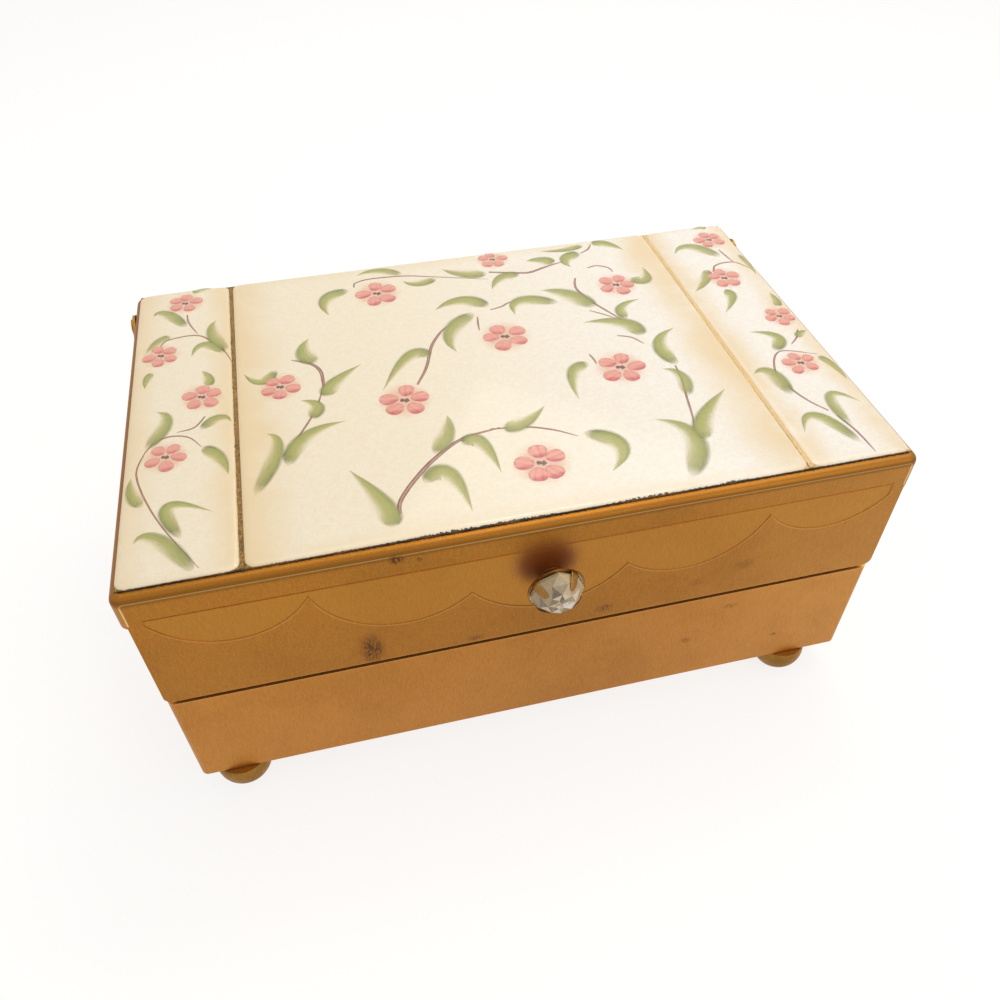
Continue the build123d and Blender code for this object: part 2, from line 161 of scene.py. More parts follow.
class KnobLook(bpy.types.PropertyGroup):
    """Glass stone and its setting."""
    brass: colour("Setting", "Dull brass of the setting", 136, 98, 50)
    # The glass tint is also the colour of painted glints on the stone; the three foil colours below are
    # painted reflections in its facets, and the common and brightest also colour the real foil behind it
    glass: colour("Glass", "Tint of the stone", 252, 246, 234)
    darkest_reflection: colour("Foil shade", "Darkest facet of the foil behind the stone", 70, 58, 34)
    foil_warm: colour("Foil warmth", "Common facet of the foil behind the stone", 218, 188, 138)
    foil_flash: colour("Foil flash", "Brightest facet of the foil behind the stone", 255, 252, 246)
    facets: IntProperty(name="Facets", description="Main facets round the stone", default=8, min=5, max=16)
    claws: IntProperty(name="Claws", description="Claws bent over the stone", default=4, min=3, max=8)
    claw_turn: FloatProperty(name="Claw turn", description="Turn of the claws from the diagonals",
                             default=math.radians(9), subtype="ANGLE", unit="ROTATION")
    claw_width: length("Claw width", "Width of a claw at its root", 1.7)
    claw_reach: length("Claw reach", "How far in over the stone a claw bends", 1.9)
    claw_thick: length("Claw thickness", "Thickness of a claw", 0.32)


class LiningLook(bpy.types.PropertyGroup):
    """Velvet inside the tiers and the lid."""
    velvet: colour("Velvet", "Pile of the linings", 128, 26, 44)
    sheen: colour("Velvet sheen", "Light on the tips of the pile", 214, 120, 132)
    wall: length("Card and cloth", "Thickness of a lining's walls", 1.2)
    pile: length("Pile", "Size of a tuft of the pile", 0.28)
    floor_crown: length("Floor pad", "Rise of the padded floors", 0.7)
    rolls: IntProperty(name="Ring rolls", description="Soft rolls in the tray", default=5, min=1, max=9)
    roll_radius: length("Roll radius", "Radius of a ring roll", 5.4)
    bed: length("Roll bed", "Height of the bed under the rolls", 2.0)


class StageLook(bpy.types.PropertyGroup):
    """Floor, lamps and camera."""
    floor: colour("Floor", "Pale floor", 252, 248, 242)
    floor_glow: FloatProperty(name="Floor glow", description="Share of the floor that shows as plain white",
                              default=0.72, min=0, max=1, subtype="FACTOR")
    white: FloatProperty(name="White", description="Strength of the floor's plain white", default=1.12, min=0)
    sky: FloatProperty(name="Sky", description="Strength of the soft light all round", default=0.42, min=0)
    key: watts("Key lamp", "Power of the large lamp above the box", 1.85)
    fill: watts("Fill lamp", "Power of the soft lamp at the front", 0.8)
    glint: watts("Glint lamp", "Power of the narrow lamp that glints in the lacquer", 0.35)
    camera_place: FloatVectorProperty(name="Camera place", description="Where the camera stands",
                                      default=(-0.03346, -0.15144, 0.18528), subtype="TRANSLATION",
                                      unit="LENGTH")
    camera_turn: FloatVectorProperty(name="Camera turn", description="How the camera is turned",
                                     default=[math.radians(a) for a in (44.946, 0.217, -13.529)],
                                     subtype="EULER", unit="ROTATION")
    lens: FloatProperty(name="Lens", description="Focal length in millimetres", default=31.28, min=1)


class BoxLook(bpy.types.PropertyGroup):
    """All the sizes and colours of the box."""
    brass: PointerProperty(type=BrassLook)
    panel: PointerProperty(type=PanelLook)
    glue: PointerProperty(type=GlueLook)
    paint: PointerProperty(type=PaintLook)
    knob: PointerProperty(type=KnobLook)
    lining: PointerProperty(type=LiningLook)
    stage: PointerProperty(type=StageLook)


# Modelling by hand

def put_away():
    """Leave edit mode and deselect everything."""
    if bpy.context.object and bpy.context.object.mode != "OBJECT":
        bpy.ops.object.mode_set(mode="OBJECT")
    bpy.ops.object.select_all(action="DESELECT")


def only(piece):
    """Select one piece alone, in object mode."""
    put_away()
    piece.select_set(True)
    bpy.context.view_layer.objects.active = piece


def added(name):
    """The primitive just added, named, with its place in its mesh."""
    piece = bpy.context.object
    piece.name = piece.data.name = name
    bpy.ops.object.transform_apply(location=True, rotation=True, scale=True)
    return piece


def cube(name, low, high):
    put_away()
    low, high = Vector(low), Vector(high)
    bpy.ops.mesh.primitive_cube_add(size=1, location=(low + high) / 2, scale=high - low)
    return added(name)


def edit(piece):
    """Open one piece alone for editing, all of it selected."""
    only(piece)
    bpy.ops.object.mode_set(mode="EDIT")
    bpy.ops.mesh.select_all(action="SELECT")


def choose(piece, kind, test):
    """Select the edges by their two ends, or the faces by their normal, where they pass the test."""
    bpy.ops.mesh.select_mode(type=kind)
    bpy.ops.mesh.select_all(action="DESELECT")
    mesh = bmesh.from_edit_mesh(piece.data)
    if kind == "EDGE":
        for part in mesh.edges:
            part.select_set(test(*(end.co for end in part.verts)))
    else:
        for part in mesh.faces:
            part.select_set(test(part.normal))
    mesh.select_flush_mode()
    bmesh.update_edit_mesh(piece.data)


def slices(axis, places):
    """Cut the piece in edit mode across one axis at each place."""
    for place in places:
        normal = Vector((0, 0, 0))
        normal[axis] = 1
        bpy.ops.mesh.select_all(action="SELECT")
        bpy.ops.mesh.bisect(plane_co=normal * place, plane_no=normal, threshold=WELD)


def rounded(radius, segments):
    """Bevel the selected edges of the piece in edit mode."""
    bpy.ops.mesh.bevel(offset=radius * MM, segments=segments, affect="EDGES")


def stretched(scale, centre):
    """Scale what is selected about a centre."""
    bpy.ops.transform.resize(value=scale, center_override=centre)


def drawn_out(x, y, z):
    """Extrude what is selected by a step."""
    bpy.ops.mesh.extrude_region_move(TRANSFORM_OT_translate={"value": (x, y, z)})


def spaced(low, high, pitch):
    """Even places between two ends, about a pitch apart."""
    count = max(1, round((high - low) / pitch))
    return [low + (high - low) * i / count for i in range(1, count)]


def mould(piece, move):
    """Move each point of a piece in object mode by a function of its place."""
    for point in piece.data.vertices:
        point.co = move(point.co)
    piece.data.update()


def modify(piece, kind, **settings):
    """Add a modifier and apply it."""
    only(piece)
    modifier = piece.modifiers.new(kind, kind)
    for key, value in settings.items():
        setattr(modifier, key, value)
    bpy.ops.object.modifier_apply(modifier=modifier.name)


def joined(name, pieces):
    """Several pieces as one."""
    put_away()
    for piece in pieces:
        piece.select_set(True)
    bpy.context.view_layer.objects.active = pieces[0]
    bpy.ops.object.join()
    whole = bpy.context.object
    whole.name = whole.data.name = name
    return whole


def outwards(piece):
    """Weld a closed piece and turn every face outwards."""
    edit(piece)
    bpy.ops.mesh.remove_doubles(threshold=WELD)
    bpy.ops.mesh.normals_make_consistent(inside=False)
    put_away()


def finish(piece, body, material, replaces=(), smooth=40):
    """Shade, paint and hang a finished piece on its body."""
    only(piece)
    if smooth:
        bpy.ops.object.shade_smooth_by_angle(angle=math.radians(smooth))
    piece.data.materials.clear()
    piece.data.materials.append(material)
    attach(piece, body)
    if replaces:
        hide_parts(*replaces)
    put_away()
    return piece


def lathe(name, profile, centre, sides=48):
    """Closed turned piece about a line along -Y: the profile is (radius, distance forward) pairs.

    A third value in a pair turns that ring, for the facets of a cut stone.
    """
    put_away()
    radius, forward = profile[0]
    bpy.ops.mesh.primitive_circle_add(vertices=sides, radius=radius, fill_type="NGON",
                                      location=centre + Vector((0, -forward, 0)),
                                      rotation=(math.pi / 2, 0, 0))
    piece = added(name)
    edit(piece)
    for wide, reach, *turn in profile[1:]:
        drawn_out(0, forward - reach, 0)
        turn_centre = centre + Vector((0, -reach, 0))
        scale = wide / radius
        stretched((scale, 1, scale), turn_centre)
        if turn:
            bpy.ops.transform.rotate(value=turn[0], orient_axis="Y", center_override=turn_centre)
        radius, forward = wide, reach
    outwards(piece)
    return piece


# Node trees

# Scales of the noises, per metre, and how far in a panel's shading comes along X and along Y
SMUDGE_GRAIN = (3000, 3000, 1000)
BORDER_WANDER = 70.0
CHIP_CLUSTERS = 55.0
CHIP_CRUMBS = 1500.0
BORDER_SHARES = (1.0, 0.4)


def fill(tree, made, inputs):
    """Fill a node's inputs with values or links; a colour gets its alpha here."""
    for key, value in inputs.items():
        socket = made.inputs[key]
        if isinstance(value, bpy.types.NodeSocket):
            tree.links.new(value, socket)
        elif socket.type == "RGBA":
            socket.default_value = (*value, 1)
        else:
            socket.default_value = value
    return made


def node(tree, kind, inputs=None, **settings):
    """Add a node, set its settings and fill its inputs."""
    made = tree.nodes.new(kind)
    for key, value in settings.items():
        setattr(made, key, value)
    return fill(tree, made, inputs or {})


def calc(tree, operation, *values, clamp=False):
    """One sum, product, comparison or the like of values or links."""
    made = node(tree, "ShaderNodeMath", dict(enumerate(values)), operation=operation, use_clamp=clamp)
    return made.outputs[0]


def times(tree, result, *others):
    """Product of values or links."""
    for other in others:
        result = calc(tree, "MULTIPLY", result, other)
    return result


def plus(tree, result, *others):
    """Sum of values or links."""
    for other in others:
        result = calc(tree, "ADD", result, other)
    return result


def minus(tree, first, second):
    """Difference of two values or links."""
    return calc(tree, "SUBTRACT", first, second)


def strongest(tree, masks):
    """Largest of several masks at each point."""
    result = masks[0]
    for mask in masks[1:]:
        result = calc(tree, "MAXIMUM", result, mask)
    return result


def split(tree, vector):
    """The three parts of a vector."""
    return node(tree, "ShaderNodeSeparateXYZ", {0: vector}).outputs


def vector_calc(tree, operation, *values):
    made = node(tree, "ShaderNodeVectorMath", dict(enumerate(values)), operation=operation)
    return made.outputs[1 if operation in ("LENGTH", "DISTANCE") else 0]


def ramp(tree, value, low, high, to_low=0.0, to_high=1.0):
    """Smooth step of a value from one range to another."""
    inputs = {"Value": value, "From Min": low, "From Max": high, "To Min": to_low, "To Max": to_high}
    return node(tree, "ShaderNodeMapRange", inputs, interpolation_type="SMOOTHSTEP").outputs[0]


def mixed(tree, amount, first, second, blend="MIX"):
    """Two colours mixed by an amount."""
    made = node(tree, "ShaderNodeMix", data_type="RGBA", blend_type=blend)
    return fill(tree, made, {0: amount, 6: first, 7: second}).outputs[2]


def washed(tree, tone, *washes):
    """A tone under washes, each a mask, the share of the mask that counts, and a colour."""
    for mask, strength, wash in washes:
        tone = mixed(tree, times(tree, mask, strength), tone, wash)
    return tone


def cloud(tree, vector, scale, detail=3.0, rough=0.55):
    """Soft noise from 0 to 1, with its scale per metre or a vector of scales."""
    inputs = {"Vector": vector, "Scale": scale, "Detail": detail, "Roughness": rough}
    if isinstance(scale, (tuple, list)):
        inputs["Vector"] = vector_calc(tree, "MULTIPLY", vector, scale)
        inputs["Scale"] = 1.0
    return node(tree, "ShaderNodeTexNoise", inputs).outputs[0]


def group(name, inputs, build):
    """Shader node group with named inputs and one or more named outputs."""
    tree = bpy.data.node_groups.new(name, "ShaderNodeTree")
    for title, value in inputs.items():
        kind = "NodeSocketVector" if isinstance(value, tuple) else "NodeSocketFloat"
        socket = tree.interface.new_socket(title, in_out="INPUT", socket_type=kind)
        socket.default_value = value
    outputs = build(tree, tree.nodes.new("NodeGroupInput").outputs)
    end = tree.nodes.new("NodeGroupOutput")
    for title, value in outputs.items():
        tree.interface.new_socket(title, in_out="OUTPUT", socket_type="NodeSocketFloat")
        tree.links.new(value, end.inputs[title])
    return tree


def placed(tree, name, inputs):
    """Place a shared node group in a material, with its own values."""
    made = node(tree, "ShaderNodeGroup", node_tree=bpy.data.node_groups[name])
    return fill(tree, made, inputs).outputs[0]


def patchy(tree, place, millimetres, low, high):
    """Cloudy patches of a size, between two thresholds."""
    return placed(tree, "patches", {"Vector": place, "Size": millimetres * MM, "From": low, "To": high})


def brush_lines(tree, given):
    """Fine lines that run up and down."""
    across = calc(tree, "DIVIDE", 1, given["Width"])
    along = calc(tree, "DIVIDE", 1, given["Length"])
    scales = node(tree, "ShaderNodeCombineXYZ", {0: across, 1: across, 2: along}).outputs[0]
    place = vector_calc(tree, "MULTIPLY", given["Vector"], scales)
    return {"Line": ramp(tree, cloud(tree, place, 1.0, 4.0, 0.65), 0.3, 0.7)}


def patches(tree, given):
    """Cloudy patches of a size, with a soft threshold."""
    clouds = cloud(tree, given["Vector"], calc(tree, "DIVIDE", 1, given["Size"]), 4.0, 0.6)
    return {"Mask": ramp(tree, clouds, given["From"], given["To"])}


def smudge(tree, given):
    """One soft spot at a place, with its reach along each axis, broken up by fine grain."""
    offset = vector_calc(tree, "SUBTRACT", given["Vector"], given["Place"])
    away = vector_calc(tree, "LENGTH", vector_calc(tree, "DIVIDE", offset, given["Reach"]))
    grain = ramp(tree, cloud(tree, given["Vector"], SMUDGE_GRAIN, 4.0, 0.75), 0.43, 0.57)
    holes = times(tree, minus(tree, 1.0, grain), given["Rag"])
    return {"Mask": times(tree, ramp(tree, away, 1.0, 0.2), minus(tree, 1.0, holes), given["Strength"])}


def near(tree, value, place, width):
    """Mask that is full at a value and gone at a width from it."""
    away = calc(tree, "ABSOLUTE", minus(tree, value, place))
    return {"Mask": ramp(tree, calc(tree, "DIVIDE", away, width), 1.0, 0.0)}


def band(tree, given):
    """Soft band about one value of a coordinate."""
    return near(tree, given["Value"], given["Place"], given["Width"])


def arc(tree, given):
    """Thin line round a centre, seen along Y."""
    offset = vector_calc(tree, "SUBTRACT", given["Vector"], given["Centre"])
    away = vector_calc(tree, "LENGTH", vector_calc(tree, "MULTIPLY", offset, (1, 0, 1)))
    return near(tree, away, given["Radius"], given["Width"])


def border(tree, given):
    """Shading that fades in from the four edges of a panel, less from its ends than from its sides."""
    wander = times(tree, minus(tree, cloud(tree, given["Vector"], BORDER_WANDER), 0.5), 0.9)
    place = split(tree, vector_calc(tree, "SUBTRACT", given["Vector"], given["Middle"]))
    half = split(tree, given["Half"])
    shades = []
    for axis, share_of in enumerate(BORDER_SHARES):
        inside = minus(tree, half[axis], calc(tree, "ABSOLUTE", place[axis]))
        depth = plus(tree, calc(tree, "DIVIDE", inside, times(tree, given["Reach"], share_of)), wander)
        shades.append(ramp(tree, depth, 1.0, 0.0, 0.0, share_of))
    return {"Mask": strongest(tree, shades)}


def chips(tree, given):
    """Ragged chips and crumbs that eat into an edge, with the way from the edge as the value."""
    clusters = ramp(tree, cloud(tree, given["Vector"], CHIP_CLUSTERS, 2.0), 0.42, 0.66, 0.3, 1.0)
    crumbs = ramp(tree, cloud(tree, given["Vector"], CHIP_CRUMBS, 3.0, 0.7), 0.3, 0.7, 0.2, 1.2)
    edge = calc(tree, "DIVIDE", given["Value"], given["Reach"])
    return {"Mask": ramp(tree, minus(tree, times(tree, clusters, crumbs), edge), 0.0, 0.08)}


def nap(tree, given):
    """Tufts of a short pile."""
    fine = cloud(tree, given["Vector"], calc(tree, "DIVIDE", 1, given["Size"]), 3.0, 0.7)
    return {"Tuft": ramp(tree, fine, 0.25, 0.75)}


def shared_groups():
    """The effects that more than one material or place uses, each with starting values of its inputs."""
    vector = (0.0, 0.0, 0.0)
    group("brush lines", {"Vector": vector, "Width": 0.2 * MM, "Length": 10 * MM}, brush_lines)
    group("patches", {"Vector": vector, "Size": 10 * MM, "From": 0.45, "To": 0.65}, patches)
    group("smudge", {"Vector": vector, "Place": vector, "Reach": (2 * MM, 10 * MM, 4 * MM), "Rag": 0.5,
                     "Strength": 1.0}, smudge)
    group("band", {"Value": 0.0, "Place": 0.0, "Width": MM}, band)
    group("arc", {"Vector": vector, "Centre": vector, "Radius": 20 * MM, "Width": 0.3 * MM}, arc)
    group("border", {"Vector": vector, "Middle": vector, "Half": vector, "Reach": 10 * MM}, border)
    group("chips", {"Vector": vector, "Value": 0.0, "Reach": MM}, chips)
    group("nap", {"Vector": vector, "Size": 0.3 * MM}, nap)


def new_material(name):
    """Empty material with its tree and its Object coordinates."""
    material = bpy.data.materials.new(name)
    material.use_nodes = True
    tree = material.node_tree
    return material, tree, node(tree, "ShaderNodeTexCoord").outputs["Object"]


def bump(tree, height, depth, strength):
    """Normal of a surface with a relief of a depth in mm."""
    inputs = {"Height": height, "Distance": depth * MM, "Strength": strength}
    return node(tree, "ShaderNodeBump", inputs).outputs[0]


def shaded(tree, **inputs):
    """Fill the shader's inputs, with an underscore for each space in their names."""
    named = {title.replace("_", " "): value for title, value in inputs.items()}
    fill(tree, tree.nodes["Principled BSDF"], named)


# Brass

def smudges(tree, place, spots):
    """The strongest of several smudges on the front."""
    masks = []
    for x, z, reach_x, reach_z, rag, strength in spots:
        inputs = {"Vector": place, "Place": (x * MM, LID_FRONT, z * MM), "Rag": rag, "Strength": strength,
                  "Reach": (reach_x * MM, SMUDGE_DEPTH, reach_z * MM)}
        masks.append(placed(tree, "smudge", inputs))
    return strongest(tree, masks)


# Stains on the front of the lid and of the base: x and height above the table in mm, half sizes in mm,
# how far fine grain breaks them up, and how dark they are
LID_STAINS = ((-35.0, 42.0, 3.2, 6.4, 0.7, 1.0), (-28.0, 67.0, 2.2, 1.7, 0.8, 0.9),
              (-23.8, 66.0, 1.0, 0.9, 0.8, 0.8), (-14.0, 38.8, 2.6, 1.2, 0.8, 0.6),
              (13.5, 40.4, 2.8, 1.8, 0.8, 0.7), (44.0, 46.0, 3.4, 2.2, 0.9, 0.4),
              (34.0, 43.0, 2.6, 1.6, 0.9, 0.3))
# Painted shade and reflection of the knob on the lid front, in the same columns as the stains
KNOB_SHADE_PATCH = ((0.4, 58.8, 8.4, 7.2, 0.12, 0.9),)
BASE_STAINS = ((34.5, 22.0, 1.9, 1.5, 0.9, 0.6), (57.5, 17.0, 1.2, 0.9, 0.9, 0.6),
               (44.0, 32.0, 2.6, 1.3, 0.85, 0.4))
LID_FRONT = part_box("lid_shell")[0].y
SMUDGE_DEPTH = 3 * MM

# Arcs of the scallops on the lid front, as in its sheet: x and height of the centre, and radius, in mm
SCALLOPS = ((-58.9, 69.3, 16.3), (-27.2, 66.3, 18.1), (1.6, 64.9, 19.5), (30.0, 66.7, 18.1),
            (60.3, 69.7, 16.3))

# Painted highlight in a faint line under the scallops: its distance and half width in mm, the heights between
# which it fades in, and its strength
LIP_AWAY, LIP_HALF, LIP_FADE, LIP_STRENGTH = 0.2, 0.35, (62.6 * MM, 57 * MM), 0.13

# Painted light over the whole front: painted shade in the middle, by x and half width, and painted light to
# the right
SHADED_MIDDLE = {"Place": 4 * MM, "Width": 58 * MM}
LIT_RIGHT = (25 * MM, 75 * MM, 0.0, 0.12)

# How strongly each wash covers the tone of the sheet, and how much of the metal the painted shade and
# reflection of the knob takes away
CLOUDED, DARKENED, LINED, SPECKLED, SCALLOPED, KNOB_SHADE_DULLING = 0.16, 0.2, 0.22, 0.15, 0.5, 0.8


def engraved(tree, place, z, look, tone):
    """Lighter brass inside the scallops, with a painted highlight on the lips of their recess and in a faint
    line under them.
    """
    y, depth = split(tree, place)[1], look.engrave_depth
    inside = times(tree, ramp(tree, y, LID_FRONT + 0.6 * depth, LID_FRONT + 0.9 * depth),
                   ramp(tree, y, LID_FRONT + 3 * depth, LID_FRONT + 2 * depth))
    # Painted highlight on the wall of the recess
    lip = placed(tree, "band", {"Value": y, "Place": LID_FRONT + 0.5 * depth, "Width": 0.45 * depth})
    # Painted highlight in a faint line just under each scallop
    curves = []
    for x, height, radius in SCALLOPS:
        inputs = {"Vector": place, "Centre": (x * MM, 0, height * MM), "Radius": (radius + LIP_AWAY) * MM,
                  "Width": LIP_HALF * MM}
        curves.append(placed(tree, "arc", inputs))
    below = ramp(tree, z, *LIP_FADE, 0.0, LIP_STRENGTH)
    line = times(tree, strongest(tree, curves), below, minus(tree, 1.0, inside))
    return washed(tree, tone, (inside, SCALLOPED, look.olive), (line, 1.0, look.lip), (lip, 0.9, look.lip))


def brushed(name, look, tone, stains=(), light_bands=(), lid=False):
    """Satin brass sheet, finely brushed up and down, with tarnish spots, painted shade and highlight along
    its rolled edge and rims, and painted light that is darker in the middle and brighter to the right.
    """
    material, tree, place = new_material(name)
    x, _, z = split(tree, place)
    grain = {"Vector": place, "Width": look.brush_width, "Length": look.brush_length}
    lines = placed(tree, "brush lines", grain)
    clouds = patchy(tree, place, 24, 0.38, 0.72)
    # Painted shade across the middle of the front and painted light towards its right
    middle = placed(tree, "band", {"Value": x, **SHADED_MIDDLE})
    tone = washed(tree, tone, (clouds, CLOUDED, look.shade), (middle, DARKENED, look.shade),
                  (ramp(tree, x, *LIT_RIGHT), 1.0, look.bright))
    if lid:
        tone = engraved(tree, place, z, look, tone)
    tone = washed(tree, tone, (lines, LINED, look.shade),
                  (patchy(tree, place, 0.3, 0.35, 0.7), SPECKLED, look.bright))
    # Painted shade and painted highlight at given heights along the rolled edge and the rims
    for level, half_width, strength, shade in light_bands:
        edge = placed(tree, "band", {"Value": z, "Place": level, "Width": half_width * MM})
        tone = washed(tree, tone, (edge, strength, shade))
    if stains:
        tone = mixed(tree, smudges(tree, place, stains), tone, look.stain)
    metallic = 1.0
    if lid:
        # Painted shade and reflection of the knob, with less metal where it lies
        shadowed = smudges(tree, place, KNOB_SHADE_PATCH)
        tone = mixed(tree, shadowed, tone, look.shadowed)
        metallic = minus(tree, 1.0, times(tree, shadowed, KNOB_SHADE_DULLING))
    roughness = plus(tree, times(tree, lines, 0.1), times(tree, clouds, 0.06), 0.38)
    height = plus(tree, times(tree, lines, 0.004), times(tree, cloud(tree, place, 28.0, 1.0), 0.6))
    shaded(tree, Base_Color=tone, Metallic=metallic, Roughness=roughness, Normal=bump(tree, height, 0.5, 1.0))
    return material


def plain_brass(name, look, tone, roughness):
    """Smaller brass pieces: cloudy, with a little grain and dull patches."""
    material, tree, place = new_material(name)
    clouds = patchy(tree, place, 5, 0.4, 0.7)
    grain = patchy(tree, place, 0.35, 0.3, 0.75)
    tone = washed(tree, tone, (clouds, 0.35, look.shade), (grain, 0.2, look.bright))
    shaded(tree, Base_Color=tone, Metallic=1.0, Roughness=plus(tree, times(tree, clouds, 0.18), roughness),
           Normal=bump(tree, grain, 0.01, 0.6))
    return material


def paint_node(name, material):
    """Give a piece carried over from the solids its finish."""
    piece = NODES[name]
    piece.data.materials.clear()
    piece.data.materials.append(material)


class JEWELBOX_OT_sheets(bpy.types.Operator):
    """Brush the brass of the base, the tray and the lid"""
    bl_idname = "jewelbox.sheets"
    bl_label = "Brass sheets"

    def execute(self, context):
        look = context.scene.jewelbox.brass
        lid_low, lid_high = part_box("lid_shell")
        base_low, base_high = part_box("base_shell")
        top = lid_high.z
        # Painted shade on the lid's rolled top edge, dimming its highlight and shading its underside; painted
        # highlight along the lid's lower edge and along the base's top and bottom rims
        lid_edge_light = ((top - 0.8 * MM, 0.9, 0.75, look.shade), (top - 1.5 * MM, 0.8, 0.5, look.shade),
                     (top, 0.6, 0.4, look.shade), (lid_low.z, 0.3, 0.4, look.bright))
        base_rim_highlights = ((base_high.z, 0.4, 0.5, look.bright), (base_low.z, 0.4, 0.3, look.bright))
        lid = brushed("lid brass", look, look.lid, LID_STAINS, lid_edge_light, lid=True)
        base = brushed("base brass", look, look.tier, BASE_STAINS, base_rim_highlights)
        tray = brushed("tray brass", look, look.tier)
        for name, material in (("lid_shell", lid), ("base_shell", base), ("tray_shell", tray)):
            paint_node(name, material)
        return {"FINISHED"}


class JEWELBOX_OT_fittings(bpy.types.Operator):
    """Finish the arms, links, hinges, pins, rivets and screws"""
    bl_idname = "jewelbox.fittings"
    bl_label = "Fittings"

    def execute(self, context):
        look = context.scene.jewelbox.brass
        satin = plain_brass("fitting brass", look, look.fitting, 0.42)
        for entry in frame["record"]["subparts"]:
            if entry["material_slot"] == "fitting_brass":
                paint_node(entry["node"], satin)
        paint_node("knob_post", plain_brass("post brass", look, look.fitting, 0.4))
        return {"FINISHED"}


# Panels

PANELS = {name: extents(name) for name in ("center_panel", "side_panel_left", "side_panel_right")}


def panel_top(name, look, x, y):
    """Height of a panel's top: crowned, and falling to its soft edge."""
    _, high, middle, half = PANELS[name]
    across = (x - middle.x) / half.x
    endways = (y - middle.y) / half.y
    if name == "center_panel":
        crown = look.center_crown * (across ** 2 + endways ** 2) / 2
    else:
        crown = look.crown * across ** 2
    inside = depth_inside(Vector((x, y)), middle, half)
    corner_x = abs(x - middle.x) - (half.x - look.corner)
    corner_y = abs(y - middle.y) - (half.y - look.corner)
    if corner_x > 0 and corner_y > 0:
        inside = look.corner - math.hypot(corner_x, corner_y)
    reach = 1 - min(max(inside / look.edge_round, 0), 1)
    return high.z - look.paint_room - crown - look.edge_fall * (1 - math.sqrt(1 - reach ** 2))


def corner_rounded(point, middle, half, radius):
    """Pull a point of a square corner onto the round one."""
    over = [abs(point[i] - middle[i]) - (half[i] - radius) for i in (0, 1)]
    if min(over) > 0:
        pull = max(over) / math.hypot(*over)
        for i in (0, 1):
            side = math.copysign(1, point[i] - middle[i])
            point[i] = middle[i] + side * (half[i] - radius + over[i] * pull)
    return point


# Cuts near a panel's edge, in mm from it, and the pitch of those in the middle
EDGE_CUTS = (0.06, 0.2, 0.42, 0.72, 1.1, 1.5, 2.0)
PANEL_PITCH = 3.0 * MM


def edge_places(low, high, look):
    """Cuts across a panel: close together at its edges, wider in the middle."""
    steps = [s * MM for s in EDGE_CUTS if s * MM < look.corner] + [look.corner]
    inner = spaced(low + look.corner, high - look.corner, PANEL_PITCH)
    return [low + s for s in steps] + inner + [high - s for s in steps]


def panel(name, look):
    """A lacquered panel: one plane, cut, crowned, rounded and given its thickness."""
    low, high, middle, half = PANELS[name]
    centre = (middle.x, middle.y, high.z)
    put_away()
    bpy.ops.mesh.primitive_plane_add(size=1, location=centre)
    piece = added(name + "_lacquer")
    edit(piece)
    stretched((2 * half.x, 2 * half.y, 1), centre)
    for axis in (0, 1):
        slices(axis, edge_places(low[axis], high[axis], look))
    put_away()

    def shaped(point):
        point = corner_rounded(point, middle, half, look.corner)
        point.z = panel_top(name, look, point.x, point.y)
        return point

    mould(piece, shaped)
    edit(piece)
    drawn_out(0, 0, -MM)
    stretched((1, 1, 0), (middle.x, middle.y, low.z))
    outwards(piece)
    return piece


# Shine of the lacquer and of the paint on it
COAT = {"Coat_Weight": 0.6, "Coat_Roughness": 0.08}

# Scales of the gesso's weave, per metre, and between which x the lacquer is painted paler, as painted light
# towards the right
WEAVE = ((2600, 700, 700), (700, 2600, 700))
LACQUER_LIT_SPAN = (-30 * MM, 55 * MM)


def lacquer(node_name, look, reach, tan_share, chip_reach):
    """Glossy cream lacquer over rubbed gesso, painted paler towards the right as painted light, tan at its
    borders and chipped at its front edge.
    """
    material, tree, place = new_material(node_name + " lacquer")
    low, _, middle, half = PANELS[node_name]
    x, y, z = split(tree, place)
    edge = placed(tree, "border", {"Vector": place, "Middle": middle, "Half": half, "Reach": reach})
    soft = ramp(tree, patchy(tree, place, 16, 0.42, 0.75), 0, 1, 1.0, 0.55)
    # Painted light: paler towards the right
    cream = mixed(tree, ramp(tree, x, *LACQUER_LIT_SPAN), look.cream, look.pale)
    weave = times(tree, *(cloud(tree, place, scale, 3.0, 0.6) for scale in WEAVE))
    mottle = times(tree, patchy(tree, place, 1.3, 0.35, 0.75), 0.1)
    grain = plus(tree, mottle, ramp(tree, weave, 0.2, 0.32, 0.0, 0.22))
    way = plus(tree, minus(tree, y, low.y), minus(tree, z, low.z))
    broken = placed(tree, "chips", {"Vector": place, "Value": way, "Reach": chip_reach * MM})
    tone = mixed(tree, times(tree, edge, tan_share, soft), cream, look.tan)
    tone = mixed(tree, broken, mixed(tree, grain, tone, look.tan), look.chip)
    height = plus(tree, weave, times(tree, cloud(tree, place, 120.0), 0.8))
    shaded(tree, Base_Color=tone, Roughness=0.45, Normal=bump(tree, height, 0.05, 0.8), **COAT)
    return material


class JEWELBOX_OT_panels(bpy.types.Operator):
    """Make the three lacquered panels"""
    bl_idname = "jewelbox.panels"
    bl_label = "Panels"

    def execute(self, context):
        look = context.scene.jewelbox.panel
        for name in PANELS:
            if name == "center_panel":
                material = lacquer(name, look, look.tan_reach, tan_share=0.9, chip_reach=0.75)
            else:
                material = lacquer(name, look, look.side_reach, tan_share=0.75, chip_reach=0.3)
            finish(panel(name, look), "lid", material, (name,), smooth=50)
        return {"FINISHED"}


# Glue

# Pitch of the grid that is broken up, how far its points move and where in the noise they start
CRUMB_PITCH = 0.35 * MM
CRUMB_MOVE = 0.22 * MM
CRUMB_START = Vector((7, 14, 21))


